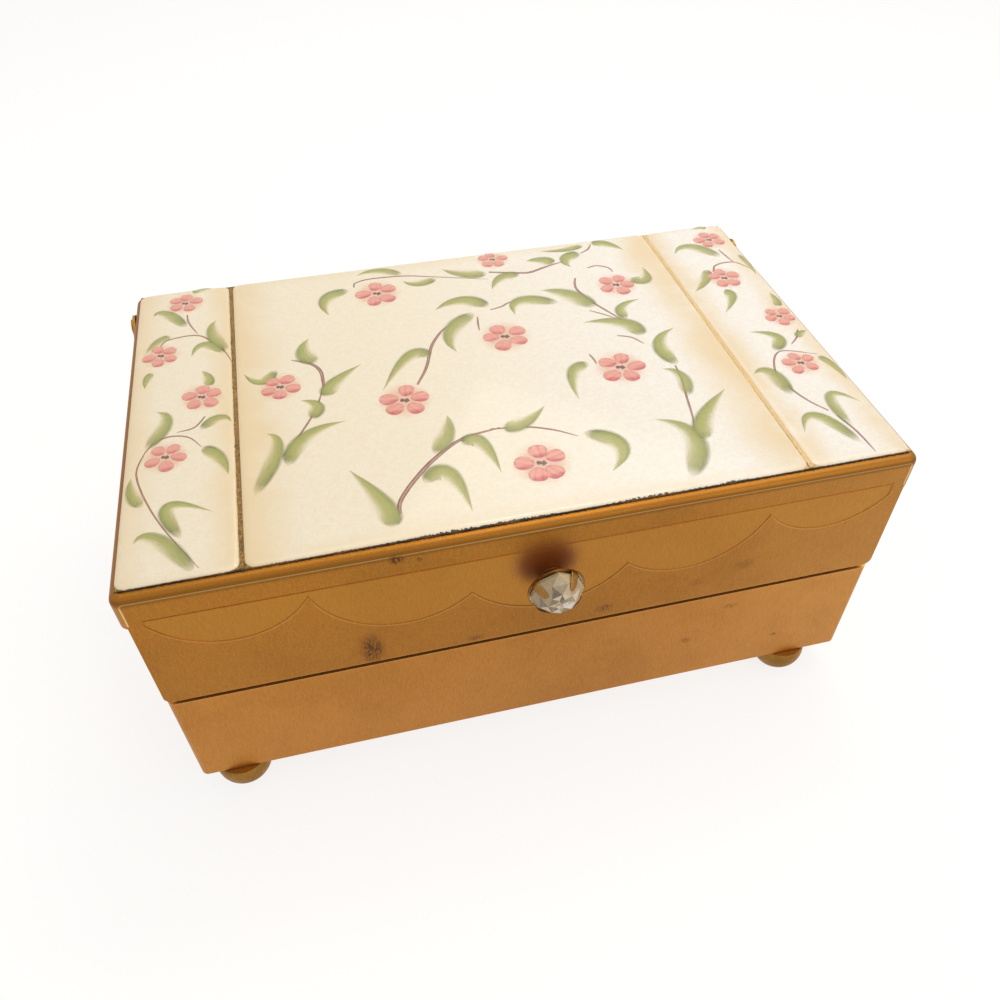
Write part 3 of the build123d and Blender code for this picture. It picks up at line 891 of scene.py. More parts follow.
def glue_strip(name, low, high, look):
    """Strip of crumbs: a grid given its thickness, with its points broken up."""
    low, high = Vector(low), Vector(high)
    size = high - low
    middle = ((low.x + high.x) / 2, (low.y + high.y) / 2, high.z)
    across, along = (max(3, round(reach / CRUMB_PITCH)) for reach in size[:2])
    put_away()
    bpy.ops.mesh.primitive_grid_add(x_subdivisions=across, y_subdivisions=along, size=1, location=middle)
    piece = added(name)
    edit(piece)
    stretched((size.x, size.y, 1), middle)
    drawn_out(0, 0, -size.z)
    outwards(piece)

    def broken(point):
        moved = point + noise.noise_vector(point / look.grain + CRUMB_START) * CRUMB_MOVE
        moved.z = min(max(moved.z, low.z), high.z)
        return moved

    mould(piece, broken)
    return piece


def glue_material(look):
    """Dark glue along the front edge, and crumbs of rubbed gilt in the seams behind it."""
    material, tree, place = new_material("glue and gilt")
    x, y, _ = split(tree, place)
    crumbs = patchy(tree, place, 0.35, 0.42, 0.55)
    front = PANELS["center_panel"][0].y
    seam = ramp(tree, y, front - 0.1 * MM, front + 0.4 * MM)
    gilt = times(tree, seam, ramp(tree, crumbs, 0, 1, 0.2, 1.0))
    clean = times(tree, seam, ramp(tree, x, -MM, MM, 0.0, 0.85))
    tone = washed(tree, look.dark, (patchy(tree, place, 9, 0.42, 0.6), 0.8, look.worn),
                  (gilt, 1.0, look.gilt), (clean, 1.0, look.pale))
    shaded(tree, Base_Color=tone, Metallic=times(tree, gilt, 0.5), Roughness=0.55,
           Normal=bump(tree, crumbs, 0.08, 0.8))
    return material


class JEWELBOX_OT_glue(bpy.types.Operator):
    """Lay the old glue under the panels, along their front and in their seams"""
    bl_idname = "jewelbox.glue"
    bl_label = "Glue"

    def execute(self, context):
        look = context.scene.jewelbox.glue
        low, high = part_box("panel_glue")
        panel_low = PANELS["center_panel"][0]
        side_edge = PANELS["side_panel_left"][1].x
        bed = cube("glue_bed", (low.x, panel_low.y, low.z), (high.x, high.y, panel_low.z))
        front = (low.x + 0.6 * MM, panel_low.y - look.front_reach, low.z)
        back = (-front[0], panel_low.y + 0.5 * MM, low.z + 0.3 * MM)
        strips = [glue_strip("glue_front", front, back, look)]
        for side in (-1, 1):
            left, right = sorted((-side * side_edge, -side * panel_low.x))
            front, back = (left, panel_low.y - 0.2 * MM, low.z), (right, high.y - MM, low.z + 0.42 * MM)
            strips.append(glue_strip("glue_seam", front, back, look))
        whole = joined("panel_glue_crumbs", [bed] + strips)
        finish(whole, "lid", glue_material(look), ("panel_glue",), smooth=30)
        return {"FINISHED"}


# Painted vines, in mm from the middle of the box

# Leaves: where they spring from, what they bend through, their tip and their width
CENTER_LEAVES = (
    ((-27.5, -43.5), (-28.5, -37), (-33.5, -26.4), 4.5), ((-16.5, -25.9), (-13, -20), (-11.8, -14.4), 4),
    ((-20, -33.4), (-15, -31.9), (-12.5, -42.9), 4.5), ((-10.5, -24.4), (-7, -24.4), (-4.8, -33.9), 4),
    ((-1.5, -20.9), (3, -20.5), (8.8, -16.2), 4), ((14, -26.4), (20, -31.9), (16.3, -38.7), 4.5),
    ((-51.8, -29.2), (-47, -17), (-48.5, -11.4), 3.5), ((-45, -22.4), (-41, -14.5), (-32.5, -11.2), 4),
    ((-39.5, -8.9), (-38, -4.9), (-41, -2.2), 3.5), ((-35.3, -2.2), (-33.5, 2.1), (-27, 7.6), 4),
    ((-36.5, 10.6), (-39, 15.1), (-37.5, 20.6), 4.5), ((-45.5, 10.1), (-49, 6.6), (-52.5, 10.1), 2.8),
    ((-11.5, 6.6), (-16, 7.9), (-23.5, -2.9), 4), ((2, 21.9), (-5, 15.1), (-5.3, 7.1), 4.5),
    ((6, 23.6), (0, 27.6), (-7, 25.1), 4.5), ((23, 21.1), (14, 24.1), (11.3, 18.6), 4.2),
    ((31, 17.1), (26, 24), (20, 27.6), 5.5), ((37.5, 3.1), (35, 9.1), (26, 11.6), 5),
    ((36.5, 10.6), (37, 15.6), (42.5, 18.1), 3), ((41.5, -9.4), (40.5, -0.9), (45.8, 4.4), 4),
    ((39.3, -20.4), (40.5, -13.4), (37.5, -9.9), 3.5), ((37.3, -34.4), (40, -27.9), (48, -19.9), 4.5),
    ((30.5, -44.2), (35.3, -32.9), (29.8, -25.9), 5), ((22.5, -4.2), (18, -6.9), (16.5, -15.9), 3.5),
    ((43, 27.6), (47, 26.6), (48.3, 32.1), 4), ((-26, 39.1), (-32, 36.1), (-32, 29.1), 4),
    ((-12, 43.1), (-18, 46.4), (-23.5, 45.4), 3), ((-4, 39.4), (-9, 38.1), (-12.5, 40.1), 3),
    ((9, 38.4), (3, 40), (-2, 43.6), 4), ((17, 36.1), (12, 35.6), (8.5, 30.9), 3.5),
    ((27, 39.4), (24, 41.5), (20, 42.1), 4), ((35, 43.1), (30.5, 40.6), (30.5, 36.6), 4),
    ((37, 46.4), (31, 45.5), (25, 46.1), 2.5), ((39, 47.1), (43, 45.5), (46.5, 41.6), 3.5),
)
LEFT_LEAVES = (
    ((-64, 47.1), (-61.5, 48.2), (-59, 48.9), 2.5), ((-65, 31.9), (-70, 38.9), (-72.8, 38.6), 3.2),
    ((-56, 20.1), (-59, 28), (-58.3, 33.4), 3.5), ((-56.5, 19.6), (-61, 23.6), (-63.8, 19.6), 3),
    ((-68.5, 29.1), (-71.5, 27), (-73.8, 23.6), 2.8), ((-72.3, 15.6), (-73.2, 13), (-73.5, 10.1), 2),
    ((-60, 7.6), (-60.2, 10.8), (-61.5, 13.6), 2.5), ((-61.8, -6.9), (-58, -3.9), (-55.6, -5.4), 2.8),
    ((-72.5, -10.9), (-68.8, -2.9), (-70.8, 1.1), 3.5), ((-61.5, -12.4), (-58.2, -16.5), (-56.5, -21.7), 3.2),
    ((-72.5, -27.2), (-74.4, -23), (-74.8, -18.4), 2.8), ((-65, -37.4), (-67.5, -28.5), (-59.5, -31.4), 3),
    ((-62.5, -46.2), (-69.5, -36.4), (-73.5, -36.4), 3.5),
)
RIGHT_LEAVES = (
    ((72.5, 47.6), (70.5, 48), (68.5, 47.4), 2.5), ((70, 31.9), (64, 38.6), (58.8, 36.4), 4),
    ((64, 27.1), (61, 22), (57, 18.1), 3), ((63.5, 16.4), (64.5, 13.6), (60.5, 7.6), 3.2),
    ((75, 32.6), (75.3, 27), (75.2, 22), 1.6), ((73.8, 7.1), (74.5, 10), (74.5, 13.4), 2.5),
    ((72, -5.9), (74, -4.4), (75.6, -3.9), 2.2), ((64.5, -9.7), (67.5, -4.9), (62.3, -1.4), 3.5),
    ((73.3, -13.4), (74.9, -18), (75.4, -22.9), 2.2), ((61, -25.4), (60, -17), (56.5, -16.4), 4),
    ((68, -37.9), (69, -27.5), (74.3, -30.7), 3), ((67.5, -42.9), (62.5, -32.9), (58, -36.9), 3.2),
)

# Stems: the points that they pass through, and their width
CENTER_STEMS = (
    (((-25.8, -40.4), (-25, -36.9), (-21, -31.4), (-16, -26.4), (-10, -22.4), (-2, -20.9)), 0.95),
    (((-4, -20.9), (3, -21.9), (8.5, -24.2), (12.8, -27.2)), 0.5),
    (((-46, -19.4), (-41.5, -12.4), (-38, -5.4), (-35.8, 2.1)), 0.45),
    (((-35.8, 1.1), (-36, 7.1), (-38, 10.6), (-42, 12.9)), 0.8),
    (((-16, -2.7), (-13, 3.1), (-10.5, 10.6), (-7.5, 15.6), (-5.5, 17.6)), 0.7),
    (((2.3, 19.9), (1.8, 17), (1.5, 14.1)), 0.45), (((6, 22.1), (9, 22.9), (11, 24.1), (14, 24.4)), 0.5),
    (((30, 31.1), (29, 28.1), (29, 25.1), (31, 19.1), (34.5, 12.1), (35.5, 10.1)), 0.6),
    (((29, 16.1), (31.5, 14), (34.5, 11.1)), 0.4), (((32, 4.6), (35, 3.1), (37, 0.1)), 0.45),
    (((40.8, -9.4), (40.2, -15), (39, -20.4), (37.8, -26.4), (36.5, -30.9)), 0.5),
    (((23.5, -0.9), (23.9, -2.9), (24, -4.9)), 0.45),
    (((34.5, 35.1), (37, 35.6), (39.5, 34.1), (40.3, 31.6)), 0.5),
    (((-24.8, 40.1), (-24, 42.1), (-20, 43.1), (-11.5, 42.4), (-5, 40.4), (8.5, 35.9)), 0.5),
    (((9.5, 39.1), (17, 36.9), (20, 36.6), (24, 38.1), (29, 39.6)), 0.8),
    (((35, 42.6), (37.5, 44.2), (39, 46.6)), 0.5),
)
LEFT_STEMS = (
    (((-65, 37.4), (-64.5, 33.6), (-62.5, 28.6)), 0.4),
    (((-70.8, 25.4), (-69, 27.6), (-63, 28.1), (-59.5, 25.1), (-56.5, 20.1), (-54.9, 15.6)), 0.44),
    (((-60.8, -2.7), (-63, -5.9), (-66.5, -6.7)), 0.4),
    (((-72.5, -11.4), (-70.5, -8.7), (-67.5, -7.7), (-64, -8.9), (-61.5, -12.4)), 0.4),
    (((-72.5, -11.4), (-73.8, -15.9), (-73.5, -19.9), (-71.5, -26.4), (-68, -34.4), (-61.3, -46.2)), 0.36),
)
RIGHT_STEMS = (
    (((70.8, 35.6), (71.5, 31.6), (72, 29.1)), 0.45),
    (((65, 25.6), (66.5, 28.1), (69.5, 29.1), (72.5, 28.6), (75, 25.1)), 0.5),
    (((73.8, -2.9), (72, -5.9), (69.5, -8.2)), 0.45),
    (((66, -31.9), (63.5, -27.9), (61.8, -22.9), (61.3, -16.9), (65.5, -10.2), (73.5, -12.9)), 0.5),
    (((67, -33.9), (68.3, -39.4), (68.8, -45.9)), 0.5),
)

# Blossoms: middle, radius, turn in degrees and how deep their red is
CENTER_BLOSSOMS = (
    (3.5, -33.2, 5.5, 20, 1.0), (-45, 3.6, 4.5, 50, 0.7), (-19.5, -7.4, 5.3, 10, 0.8),
    (6.8, 10.4, 5.5, 34, 0.6), (28.8, -7.2, 5.5, 0, 0.85), (39, 25.6, 4.8, 62, 0.6),
    (-19.5, 35.9, 5.3, 28, 0.75), (11.8, 45.0, 4.0, 14, 0.3),
)
LEFT_BLOSSOMS = ((-65.5, 42.6, 4.2, 8, 0.5), (-70.5, 21.6, 4, 40, 0.6), (-61.5, 4.1, 4.3, 22, 0.35),
                 (-68.5, -13.9, 4.2, 56, 0.45))
RIGHT_BLOSSOMS = ((70.5, 41.1, 4.2, 30, 0.6), (66.5, 22.1, 4.4, 12, 0.5), (72.2, 3.1, 3.8, 48, 0.45),
                  (68.3, -15.2, 4.2, 24, 0.55))
PETALS = 5

# Thickness of the skin of paint
PAINT_SKIN = 0.06 * MM


def through(points, t):
    """Place and direction at a share of a smooth line through the points."""
    spans = len(points) - 1
    at = min(int(t * spans), spans - 1)
    s = t * spans - at
    b, c = Vector(points[at]), Vector(points[at + 1])
    a = Vector(points[at - 1]) if at > 0 else 2 * b - c
    d = Vector(points[at + 2]) if at + 2 <= spans else 2 * c - b
    bend, twist = 2 * a - 5 * b + 4 * c - d, 3 * b - a - 3 * c + d
    place = 0.5 * (2 * b + (c - a) * s + bend * s ** 2 + twist * s ** 3)
    slope = 0.5 * ((c - a) + 2 * bend * s + 3 * twist * s ** 2)
    return place, slope.normalized()


def step(value, low, high):
    """Smooth step from 0 to 1."""
    t = min(max((value - low) / (high - low), 0), 1)
    return t * t * (3 - 2 * t)


def half_round(t):
    """Height of a half circle over its base, from 0 to 1 and back to 0."""
    return math.sqrt(max(1 - (2 * t - 1) ** 2, 0))


def quarter_round(t):
    """Rise of a quarter circle from 0 to 1, level from there on."""
    return math.sqrt(max(1 - (1 - min(t, 1)) ** 2, 0))


def tint(*parts):
    """Colours blended one after another: pairs of a colour and how much of it covers the last."""
    blend = Vector(parts[0])
    for layer, amount in parts[1:]:
        blend = blend.lerp(Vector(layer), min(max(amount, 0), 1))
    return blend


class Brush:
    """Lays paint strokes on one panel, as thin domed strips that follow its top."""

    def __init__(self, panel_name, panel_look, paint_look, seed):
        self.panel = panel_name
        self.panel_look = panel_look
        self.look = paint_look
        self.random = random.Random(seed)
        self.origin = extents("base_shell")[2]
        self.strokes = []
        self.patterns = {}

    def blank(self, long_steps, cross_steps):
        """A fresh flat grid to shape into a stroke, copied from the first of its kind."""
        key = (long_steps, cross_steps)
        if key not in self.patterns:
            put_away()
            bpy.ops.mesh.primitive_grid_add(x_subdivisions=long_steps, y_subdivisions=cross_steps, size=1)
            self.patterns[key] = added("stroke_blank")
        copy = self.patterns[key].copy()
        copy.data = self.patterns[key].data.copy()
        bpy.context.scene.collection.objects.link(copy)
        return copy

    def lay(self, points, half_width, paint, relief=1.0, long_steps=14, cross_steps=6):
        """Bend a blank along the points, drop it on the panel and colour it."""
        piece = self.blank(long_steps, cross_steps)
        data = piece.data
        colours = data.color_attributes.new("paint", "FLOAT_COLOR", "POINT")
        start = self.random.uniform(0, 50)
        run = sum((Vector(a) - Vector(b)).length for a, b in zip(points, points[1:]))
        marks = {}
        for point in data.vertices:
            t, v = point.co.x + 0.5, point.co.y * 2
            place, slope = through(points, t)
            half = half_width(t)
            side = Vector((-slope.y, slope.x))
            x, y = (place + side * v * half) * MM
            x, y = x + self.origin.x, y + self.origin.y
            dome = relief * self.look.relief * (1 - v * v) * min(half / 0.4, 1)
            point.co = (x, y, panel_top(self.panel, self.panel_look, x, y) + dome)
            colours.data[point.index].color = paint(t, v)
            marks[point.index] = (start + t * run, v * half)
        for loop in data.loops:
            data.uv_layers[0].data[loop.index].uv = marks[loop.vertex_index]
        self.strokes.append(piece)

    def leaf(self, root, bend, tip, width):
        """A leaf: dark at its root and outer edge, pale at its inner edge, and thin at its tip."""
        look = self.look
        root, bend, tip = Vector(root), Vector(bend), Vector(tip)
        handle = 2 * bend - (root + tip) / 2
        places = (0, 0.2, 0.4, 0.6, 0.8, 1)
        curve = [(1 - t) ** 2 * root + 2 * t * (1 - t) * handle + t * t * tip for t in places]
        outer = 1 if (tip - root).cross(bend - root) > 0 else -1
        fresh = self.random.uniform(0.75, 1.0)
        widest = 0.34

        def half_width(t):
            fall = 1 - max((t - widest) / (1 - widest), 0) ** 1.7
            return 0.56 * width * quarter_round(t / widest) * fall + 0.05

        def paint(t, v):
            edge = step(v * outer, 0.05, 0.9)
            inner = step(-v * outer, -0.2, 0.8)
            deep = 0.7 * edge * (1 - 0.3 * t) + 0.45 * step(t, 0.35, 0.0)
            shade = tint(look.leaf, (look.leaf_light, 0.85 * inner), (look.leaf_dark, deep * fresh))
            cover = fresh * (1 - 0.8 * inner * step(t, 0.0, 0.5)) * (1 - 0.45 * step(t, 0.75, 1.0))
            return (*shade, cover * (1 - step(abs(v), 0.55, 1.0)) * step(t, 0.0, 0.14))

        self.lay(curve, half_width, paint, long_steps=18, cross_steps=10)

    def stem(self, points, width):
        look = self.look

        def half_width(t):
            return 0.54 * width * (0.4 + 0.6 * math.sin(math.pi * min(t * 0.9 + 0.12, 1)) ** 0.7)

        def paint(t, v):
            lines = step(abs(v + 0.1 * math.sin(14 * t)), 0.1, 0.55)
            shade = tint(look.stem, (look.petal, 0.4 * (1 - lines)), (look.eye, 0.4 * step(v, 0.2, 0.8)))
            cover = (0.5 + 0.5 * lines) * (1 - 0.3 * step(t, 0.85, 1.0)) * (1 - 0.6 * step(abs(v), 0.75, 1.0))
            return (*shade, cover)

        self.lay(points, half_width, paint, relief=0.6, long_steps=8 * len(points), cross_steps=8)

    def blossom(self, x, y, radius, turn, red):
        """Five petals round a dark eye, over a faint blush."""
        middle = Vector((x, y))
        self.blush(middle, radius * 1.2)
        for i in range(PETALS):
            angle = math.radians(turn + i * 360 / PETALS + self.random.uniform(-9, 9))
            reach = radius * self.random.uniform(0.96, 1.08)
            out = Vector((math.cos(angle), math.sin(angle)))
            aside = Vector((-out.y, out.x)) * radius * self.random.uniform(-0.14, 0.14)
            stations = ((0.24, -1), (0.6, 0), (0.98, 1))
            curve = [middle + out * reach * away + aside * sway for away, sway in stations]
            self.petal(curve, radius * self.random.uniform(0.31, 0.37), red, out)
        self.eye(middle, radius)

    def eye(self, middle, radius):
        """The dark, uneven dab in the middle of a blossom."""
        ends = [middle + Vector(end) * radius for end in ((-0.19, 0.05), (0.19, -0.06))]

        def half_width(t):
            return 0.15 * radius * math.sin(math.pi * (0.1 + 0.8 * t)) * (1 + 0.45 * math.sin(11 * t))

        def paint(t, v):
            return (*self.look.eye, 0.9 * (1 - step(abs(v), 0.4, 1.0)))

        self.lay(ends, half_width, paint, long_steps=12, cross_steps=6)

    def petal(self, curve, wide, red, out):
        """A petal: pale in its middle, and deep along the side that faces the front of the box."""
        look = self.look

        def half_width(t):
            return wide * half_round(t) * (0.8 + 0.34 * t) + 0.03

        streaks = self.random.uniform(0, 6)

        def paint(t, v):
            along = 2 * t - 1
            across = v * half_round(t)
            frontward = -(out.x * across + out.y * along)
            rim = step(math.hypot(across, along), 0.7, 1.0)
            streak = max(math.sin(9 * across + streaks), 0) ** 2
            deep = 0.9 * step(frontward, 0.1, 0.75) + 0.3 * rim * streak + 0.45 * red * streak
            shade = tint(look.petal, (look.petal_deep, (0.35 + 0.6 * red) * deep))
            return (*shade, 0.97 - 0.12 * (1 - red) - 0.6 * rim * (1 - step(frontward, -0.1, 0.4)))

        self.lay(curve, half_width, paint, relief=1.3, long_steps=16, cross_steps=12)

    def blush(self, middle, radius):
        """Faint round haze under a blossom."""
        across = [middle + Vector((side * radius, 0)) for side in (-1, 0, 1)]

        def half_width(t):
            return radius * half_round(t) + 0.02

        def paint(t, v):
            away = math.hypot(2 * t - 1, v * half_round(t))
            return (*self.look.blush, 0.6 * (1 - step(away, 0.35, 1.0)))

        self.lay(across, half_width, paint, relief=0.25, long_steps=12, cross_steps=8)

    def done(self, name):
        """All the strokes of a panel as one closed skin of paint."""
        whole = joined(name, self.strokes)
        for blank in self.patterns.values():
            bpy.data.objects.remove(blank)
        modify(whole, "SOLIDIFY", thickness=PAINT_SKIN, offset=-1.0)
        return whole


# Linear colour of the lacquer that shows between the bristle marks
DRY_PAINT = (1.0, 0.95, 0.85)


def stroke_paint(look):
    """Thin paint with bristle marks along each stroke, fading where the brush ran dry."""
    material, tree, _ = new_material("vine paint")
    paint = node(tree, "ShaderNodeAttribute", attribute_name="paint").outputs
    uv = node(tree, "ShaderNodeUVMap").outputs[0]
    marks = cloud(tree, uv, (0.5, MM / look.bristle, 1.0), 3.0, 0.6)
    tone = washed(tree, paint["Color"], (ramp(tree, marks, 0.4, 0.62), 0.08, DRY_PAINT))
    wet = times(tree, ramp(tree, marks, 0.5, 0.34), 0.4)
    cover = times(tree, paint["Alpha"], ramp(tree, marks, 0.7, 0.45, 0.72, 1.0))
    shaded(tree, Base_Color=mixed(tree, wet, tone, paint["Color"], "MULTIPLY"), Alpha=cover, Roughness=0.4,
           Normal=bump(tree, marks, 0.02, 0.6), **COAT)
    return material


class JEWELBOX_OT_painting(bpy.types.Operator):
    """Paint the vines and blossoms on the panels"""
    bl_idname = "jewelbox.painting"
    bl_label = "Painting"

    def execute(self, context):
        looks = context.scene.jewelbox
        material = stroke_paint(looks.paint)
        sets = (("center_panel", CENTER_STEMS, CENTER_LEAVES, CENTER_BLOSSOMS),
                ("side_panel_left", LEFT_STEMS, LEFT_LEAVES, LEFT_BLOSSOMS),
                ("side_panel_right", RIGHT_STEMS, RIGHT_LEAVES, RIGHT_BLOSSOMS))
        for seed, (name, stems, leaves, blossoms) in enumerate(sets):
            kinds = {"blossoms": lambda b: [b.blossom(*x) for x in blossoms],
                     "leaves": lambda b: [b.leaf(*x) for x in leaves],
                     "stems": lambda b: [b.stem(*x) for x in stems]}
            for kind, draw in kinds.items():
                brush = Brush(name, looks.panel, looks.paint, seed)
                draw(brush)
                finish(brush.done(f"{name}_{kind}"), "lid", material, smooth=60)
        return {"FINISHED"}


# Knob

# Shares of the stone's depth at the front and the back of its girdle
GIRDLE_FRONT = 0.536
GIRDLE_BACK = 0.643

# Crown of the stone: shares of its radius, and how far the crown has risen there
CROWN = ((1.0, 0.0), (0.8, 0.5), (0.52, 0.97), (0.25, 0.99), (0.03, 1.0))

# Painted reflections in the facets seen through the middle of the table, in those round it and in those of
# the crown, counter-clockwise from the right: 0 for the darkest reflection, 1 for the common tone, 2 for a
# painted flash
CORE_REFLECTIONS = (1.8, 0.5, 1.2, 0.2, 1.7, 0.4, 1.0, 0.3, 0.8, 1.6, 0.3, 1.2, 0.5, 1.4, 1.9, 0.9)
TABLE_REFLECTIONS = (1.3, 0.7, 1.6, 0.5, 0.15, 1.5, 0.35, 0.6, 1.2, 0.3, 1.5, 1.1, 0.8, 0.4, 2.0, 1.7)
CROWN_REFLECTIONS = (1.5, 0.9, 0.5, 1.1, 0.4, 0.25, 0.8, 0.3, 1.2, 1.0, 1.4, 0.6, 1.3, 0.5, 2.0, 1.2)


def crown_rise(reach):
    """How far the crown has risen, as a share, at a share of the stone's radius."""
    for (wide, low), (narrow, high) in zip(CROWN, CROWN[1:]):
        if reach >= narrow:
            return low + (high - low) * (wide - min(reach, wide)) / (wide - narrow)
    return 1.0


def cut_stone(look):
    """Stone with a crown of facets round a table in front, a girdle and a pointed back."""
    low, high, centre, half = extents("knob_stone")
    radius, deep = half.x, high.y - low.y
    centre.y = 0
    half_side = math.pi / look.facets
    front, back = -(low.y + GIRDLE_FRONT * deep), -(low.y + GIRDLE_BACK * deep)
    profile = [(0.1 * radius, -high.y), (0.55 * radius, -high.y + 0.18 * deep, half_side)]
    profile += [(radius, back, half_side), (radius, front)]
    for reach, rise in CROWN[1:]:
        profile.append((reach * radius, front + rise * GIRDLE_FRONT * deep, half_side))
    piece = lathe("knob_stone_cut", profile, centre, look.facets)
    modify(piece, "TRIANGULATE")
    facet_reflections(piece, look, centre, radius)
    return piece


def facet_reflections(piece, look, centre, radius):
    """A painted reflection for each facet, by its turn about the middle: greyer above, with a painted flash
    at the lower right.
    """
    tones = piece.data.color_attributes.new("facet", "FLOAT_COLOR", "CORNER")
    for face in piece.data.polygons:
        x, z = face.center.x - centre.x, face.center.z - centre.z
        reach = math.hypot(x, z) / radius
        ring = CORE_REFLECTIONS if reach < 0.22 else TABLE_REFLECTIONS if reach < 0.5 else CROWN_REFLECTIONS
        turn = math.atan2(z, x) / (2 * math.pi) % 1
        level = ring[int(turn * len(ring)) % len(ring)]
        if reach > 0.8:
            level = 0.5 + 0.5 * level
        shade = tint(look.darkest_reflection, (look.foil_warm, level), (look.foil_flash, level - 1))
        for corner in face.loop_indices:
            tones.data[corner].color = (*shade, 1)


def glass_material(look):
    """Foil-backed glass: each facet carries a painted reflection of its own, with painted glints in fine
    patches.
    """
    material, tree, place = new_material("foiled glass")
    tones = node(tree, "ShaderNodeAttribute", attribute_name="facet").outputs["Color"]
    # Painted glints in fine patches
    tone = washed(tree, tones, (patchy(tree, place, 0.9, 0.5, 0.6), 0.12, look.glass))
    shaded(tree, Base_Color=tone, Metallic=0.0, Transmission_Weight=0.15, Roughness=0.04, IOR=1.6)
    return material


def foil_material(look):
    """Silvery foil behind the stone."""
    material, tree, place = new_material("foil")
    crumple = patchy(tree, place, 0.8, 0.3, 0.7)
    shaded(tree, Base_Color=mixed(tree, crumple, look.foil_flash, look.foil_warm), Metallic=1.0,
           Roughness=0.16, Normal=bump(tree, crumple, 0.05, 0.5))
    return material


def claw(look, centre, stations, turn):
    """Strip bent over the stone's edge through (reach, y, share of its width), thickened and rounded."""
    put_away()
    bpy.ops.mesh.primitive_grid_add(x_subdivisions=2, y_subdivisions=len(stations) - 1, size=1)
    piece = added("claw")

    def bent(point):
        reach, y, wide = stations[round((point.y + 0.5) * (len(stations) - 1))]
        side = point.x * look.claw_width * wide
        x, z = reach * math.cos(turn) - side * math.sin(turn), reach * math.sin(turn) + side * math.cos(turn)
        return Vector((centre.x + x, y, centre.z + z))

    mould(piece, bent)
    modify(piece, "SOLIDIFY", thickness=look.claw_thick, offset=0.0)
    modify(piece, "SUBSURF", levels=2, render_levels=2)
    return piece


class JEWELBOX_OT_knob(bpy.types.Operator):
    """Cut the stone and make its setting"""
    bl_idname = "jewelbox.knob"
    bl_label = "Knob"

    def execute(self, context):
        looks = context.scene.jewelbox
        look = looks.knob
        low, high, centre, half = extents("knob_stone")
        centre.y = 0
        radius, deep = half.x, high.y - low.y
        finish(cut_stone(look), "lid", glass_material(look), ("knob_stone",), smooth=0)
        _, cup_high, _, cup_half = extents("knob_setting")
        outer, inner = cup_half.x, radius + 0.1 * MM
        girdle = -(low.y + GIRDLE_BACK * deep)
        profile = ((3.2 * MM, -cup_high.y), (outer - 0.5 * MM, girdle - 0.9 * MM), (outer, girdle - 0.4 * MM),
                   (outer, girdle), (inner, girdle), (inner, girdle - 0.2 * MM))
        cup = lathe("knob_cup", profile, centre)
        over = low.y + GIRDLE_FRONT * deep
        stations = [(inner + 0.12 * MM, -girdle + 0.3 * MM, 1.0), (inner + 0.12 * MM, over - 0.05 * MM, 1.0)]
        for share_in, wide in ((0.25, 1.0), (0.6, 0.85), (1.0, 0.5)):
            reach = radius - share_in * look.claw_reach
            rise = crown_rise(reach / radius) * GIRDLE_FRONT * deep
            stations.append((reach, over - rise - 0.2 * MM, wide))
        claws = []
        for i in range(look.claws):
            turn = math.pi / look.claws + look.claw_turn + i * 2 * math.pi / look.claws
            claws.append(claw(look, centre, stations, turn))
        setting = joined("knob_claws_and_cup", [cup] + claws)
        brass = plain_brass("knob brass", looks.brass, look.brass, 0.3)
        finish(setting, "lid", brass, ("knob_setting",), smooth=35)
        rim, wide = girdle - 0.12 * MM, inner - 0.05 * MM
        profile = ((0.5 * MM, -high.y - 0.08 * MM), (wide, rim), (wide, rim + 0.08 * MM),
                   (0.55 * MM, -high.y - 0.03 * MM))
        foil = lathe("knob_foil", profile, centre, sides=32)
        finish(foil, "lid", foil_material(look), smooth=20)
        return {"FINISHED"}


# Feet

# How much of a ball is cut off flat where it rests on the table
FOOT_CUT = 0.4 * MM


class JEWELBOX_OT_feet(bpy.types.Operator):
    """Turn the four ball feet"""
    bl_idname = "jewelbox.feet"
    bl_label = "Feet"

    def execute(self, context):
        look = context.scene.jewelbox.brass
        material = plain_brass("foot brass", look, look.foot, 0.42)
        for name in ("foot_front_left", "foot_front_right", "foot_rear_left", "foot_rear_right"):
            low, high, middle, half = extents(name)
            centre = (middle.x, middle.y, low.z + half.x - FOOT_CUT)
            put_away()
            bpy.ops.mesh.primitive_uv_sphere_add(segments=48, ring_count=32, radius=half.x, location=centre)
            piece = added(name + "_ball")
            edit(piece)
            for level, keep_up in ((low.z, True), (high.z, False)):
                bpy.ops.mesh.select_all(action="SELECT")
                bpy.ops.mesh.bisect(plane_co=(0, 0, level), plane_no=(0, 0, 1), use_fill=True,
                                    clear_inner=keep_up, clear_outer=not keep_up, threshold=WELD)
            outwards(piece)
            finish(piece, "base", material, (name,), smooth=35)
        return {"FINISHED"}


# Linings

# Pitch of the cuts across the liners and the padded cards, and along a ring roll
LINER_PITCH, CARD_PITCH, ROLL_PITCH = 5 * MM, 3 * MM, 1.2 * MM

# Rings that are set in on the ends of a ring roll
ROLL_END_STEPS = (1.2 * MM, 1.2 * MM, 1.0 * MM)

# Lid pad: height and width of its rounded edge, and how far in its seam runs, how wide and how deep
PAD_RIM, PAD_EDGE = 0.35 * MM, 5 * MM
SEAM_IN, SEAM_WIDTH, SEAM_DEPTH = 6 * MM, 0.7 * MM, 0.35 * MM


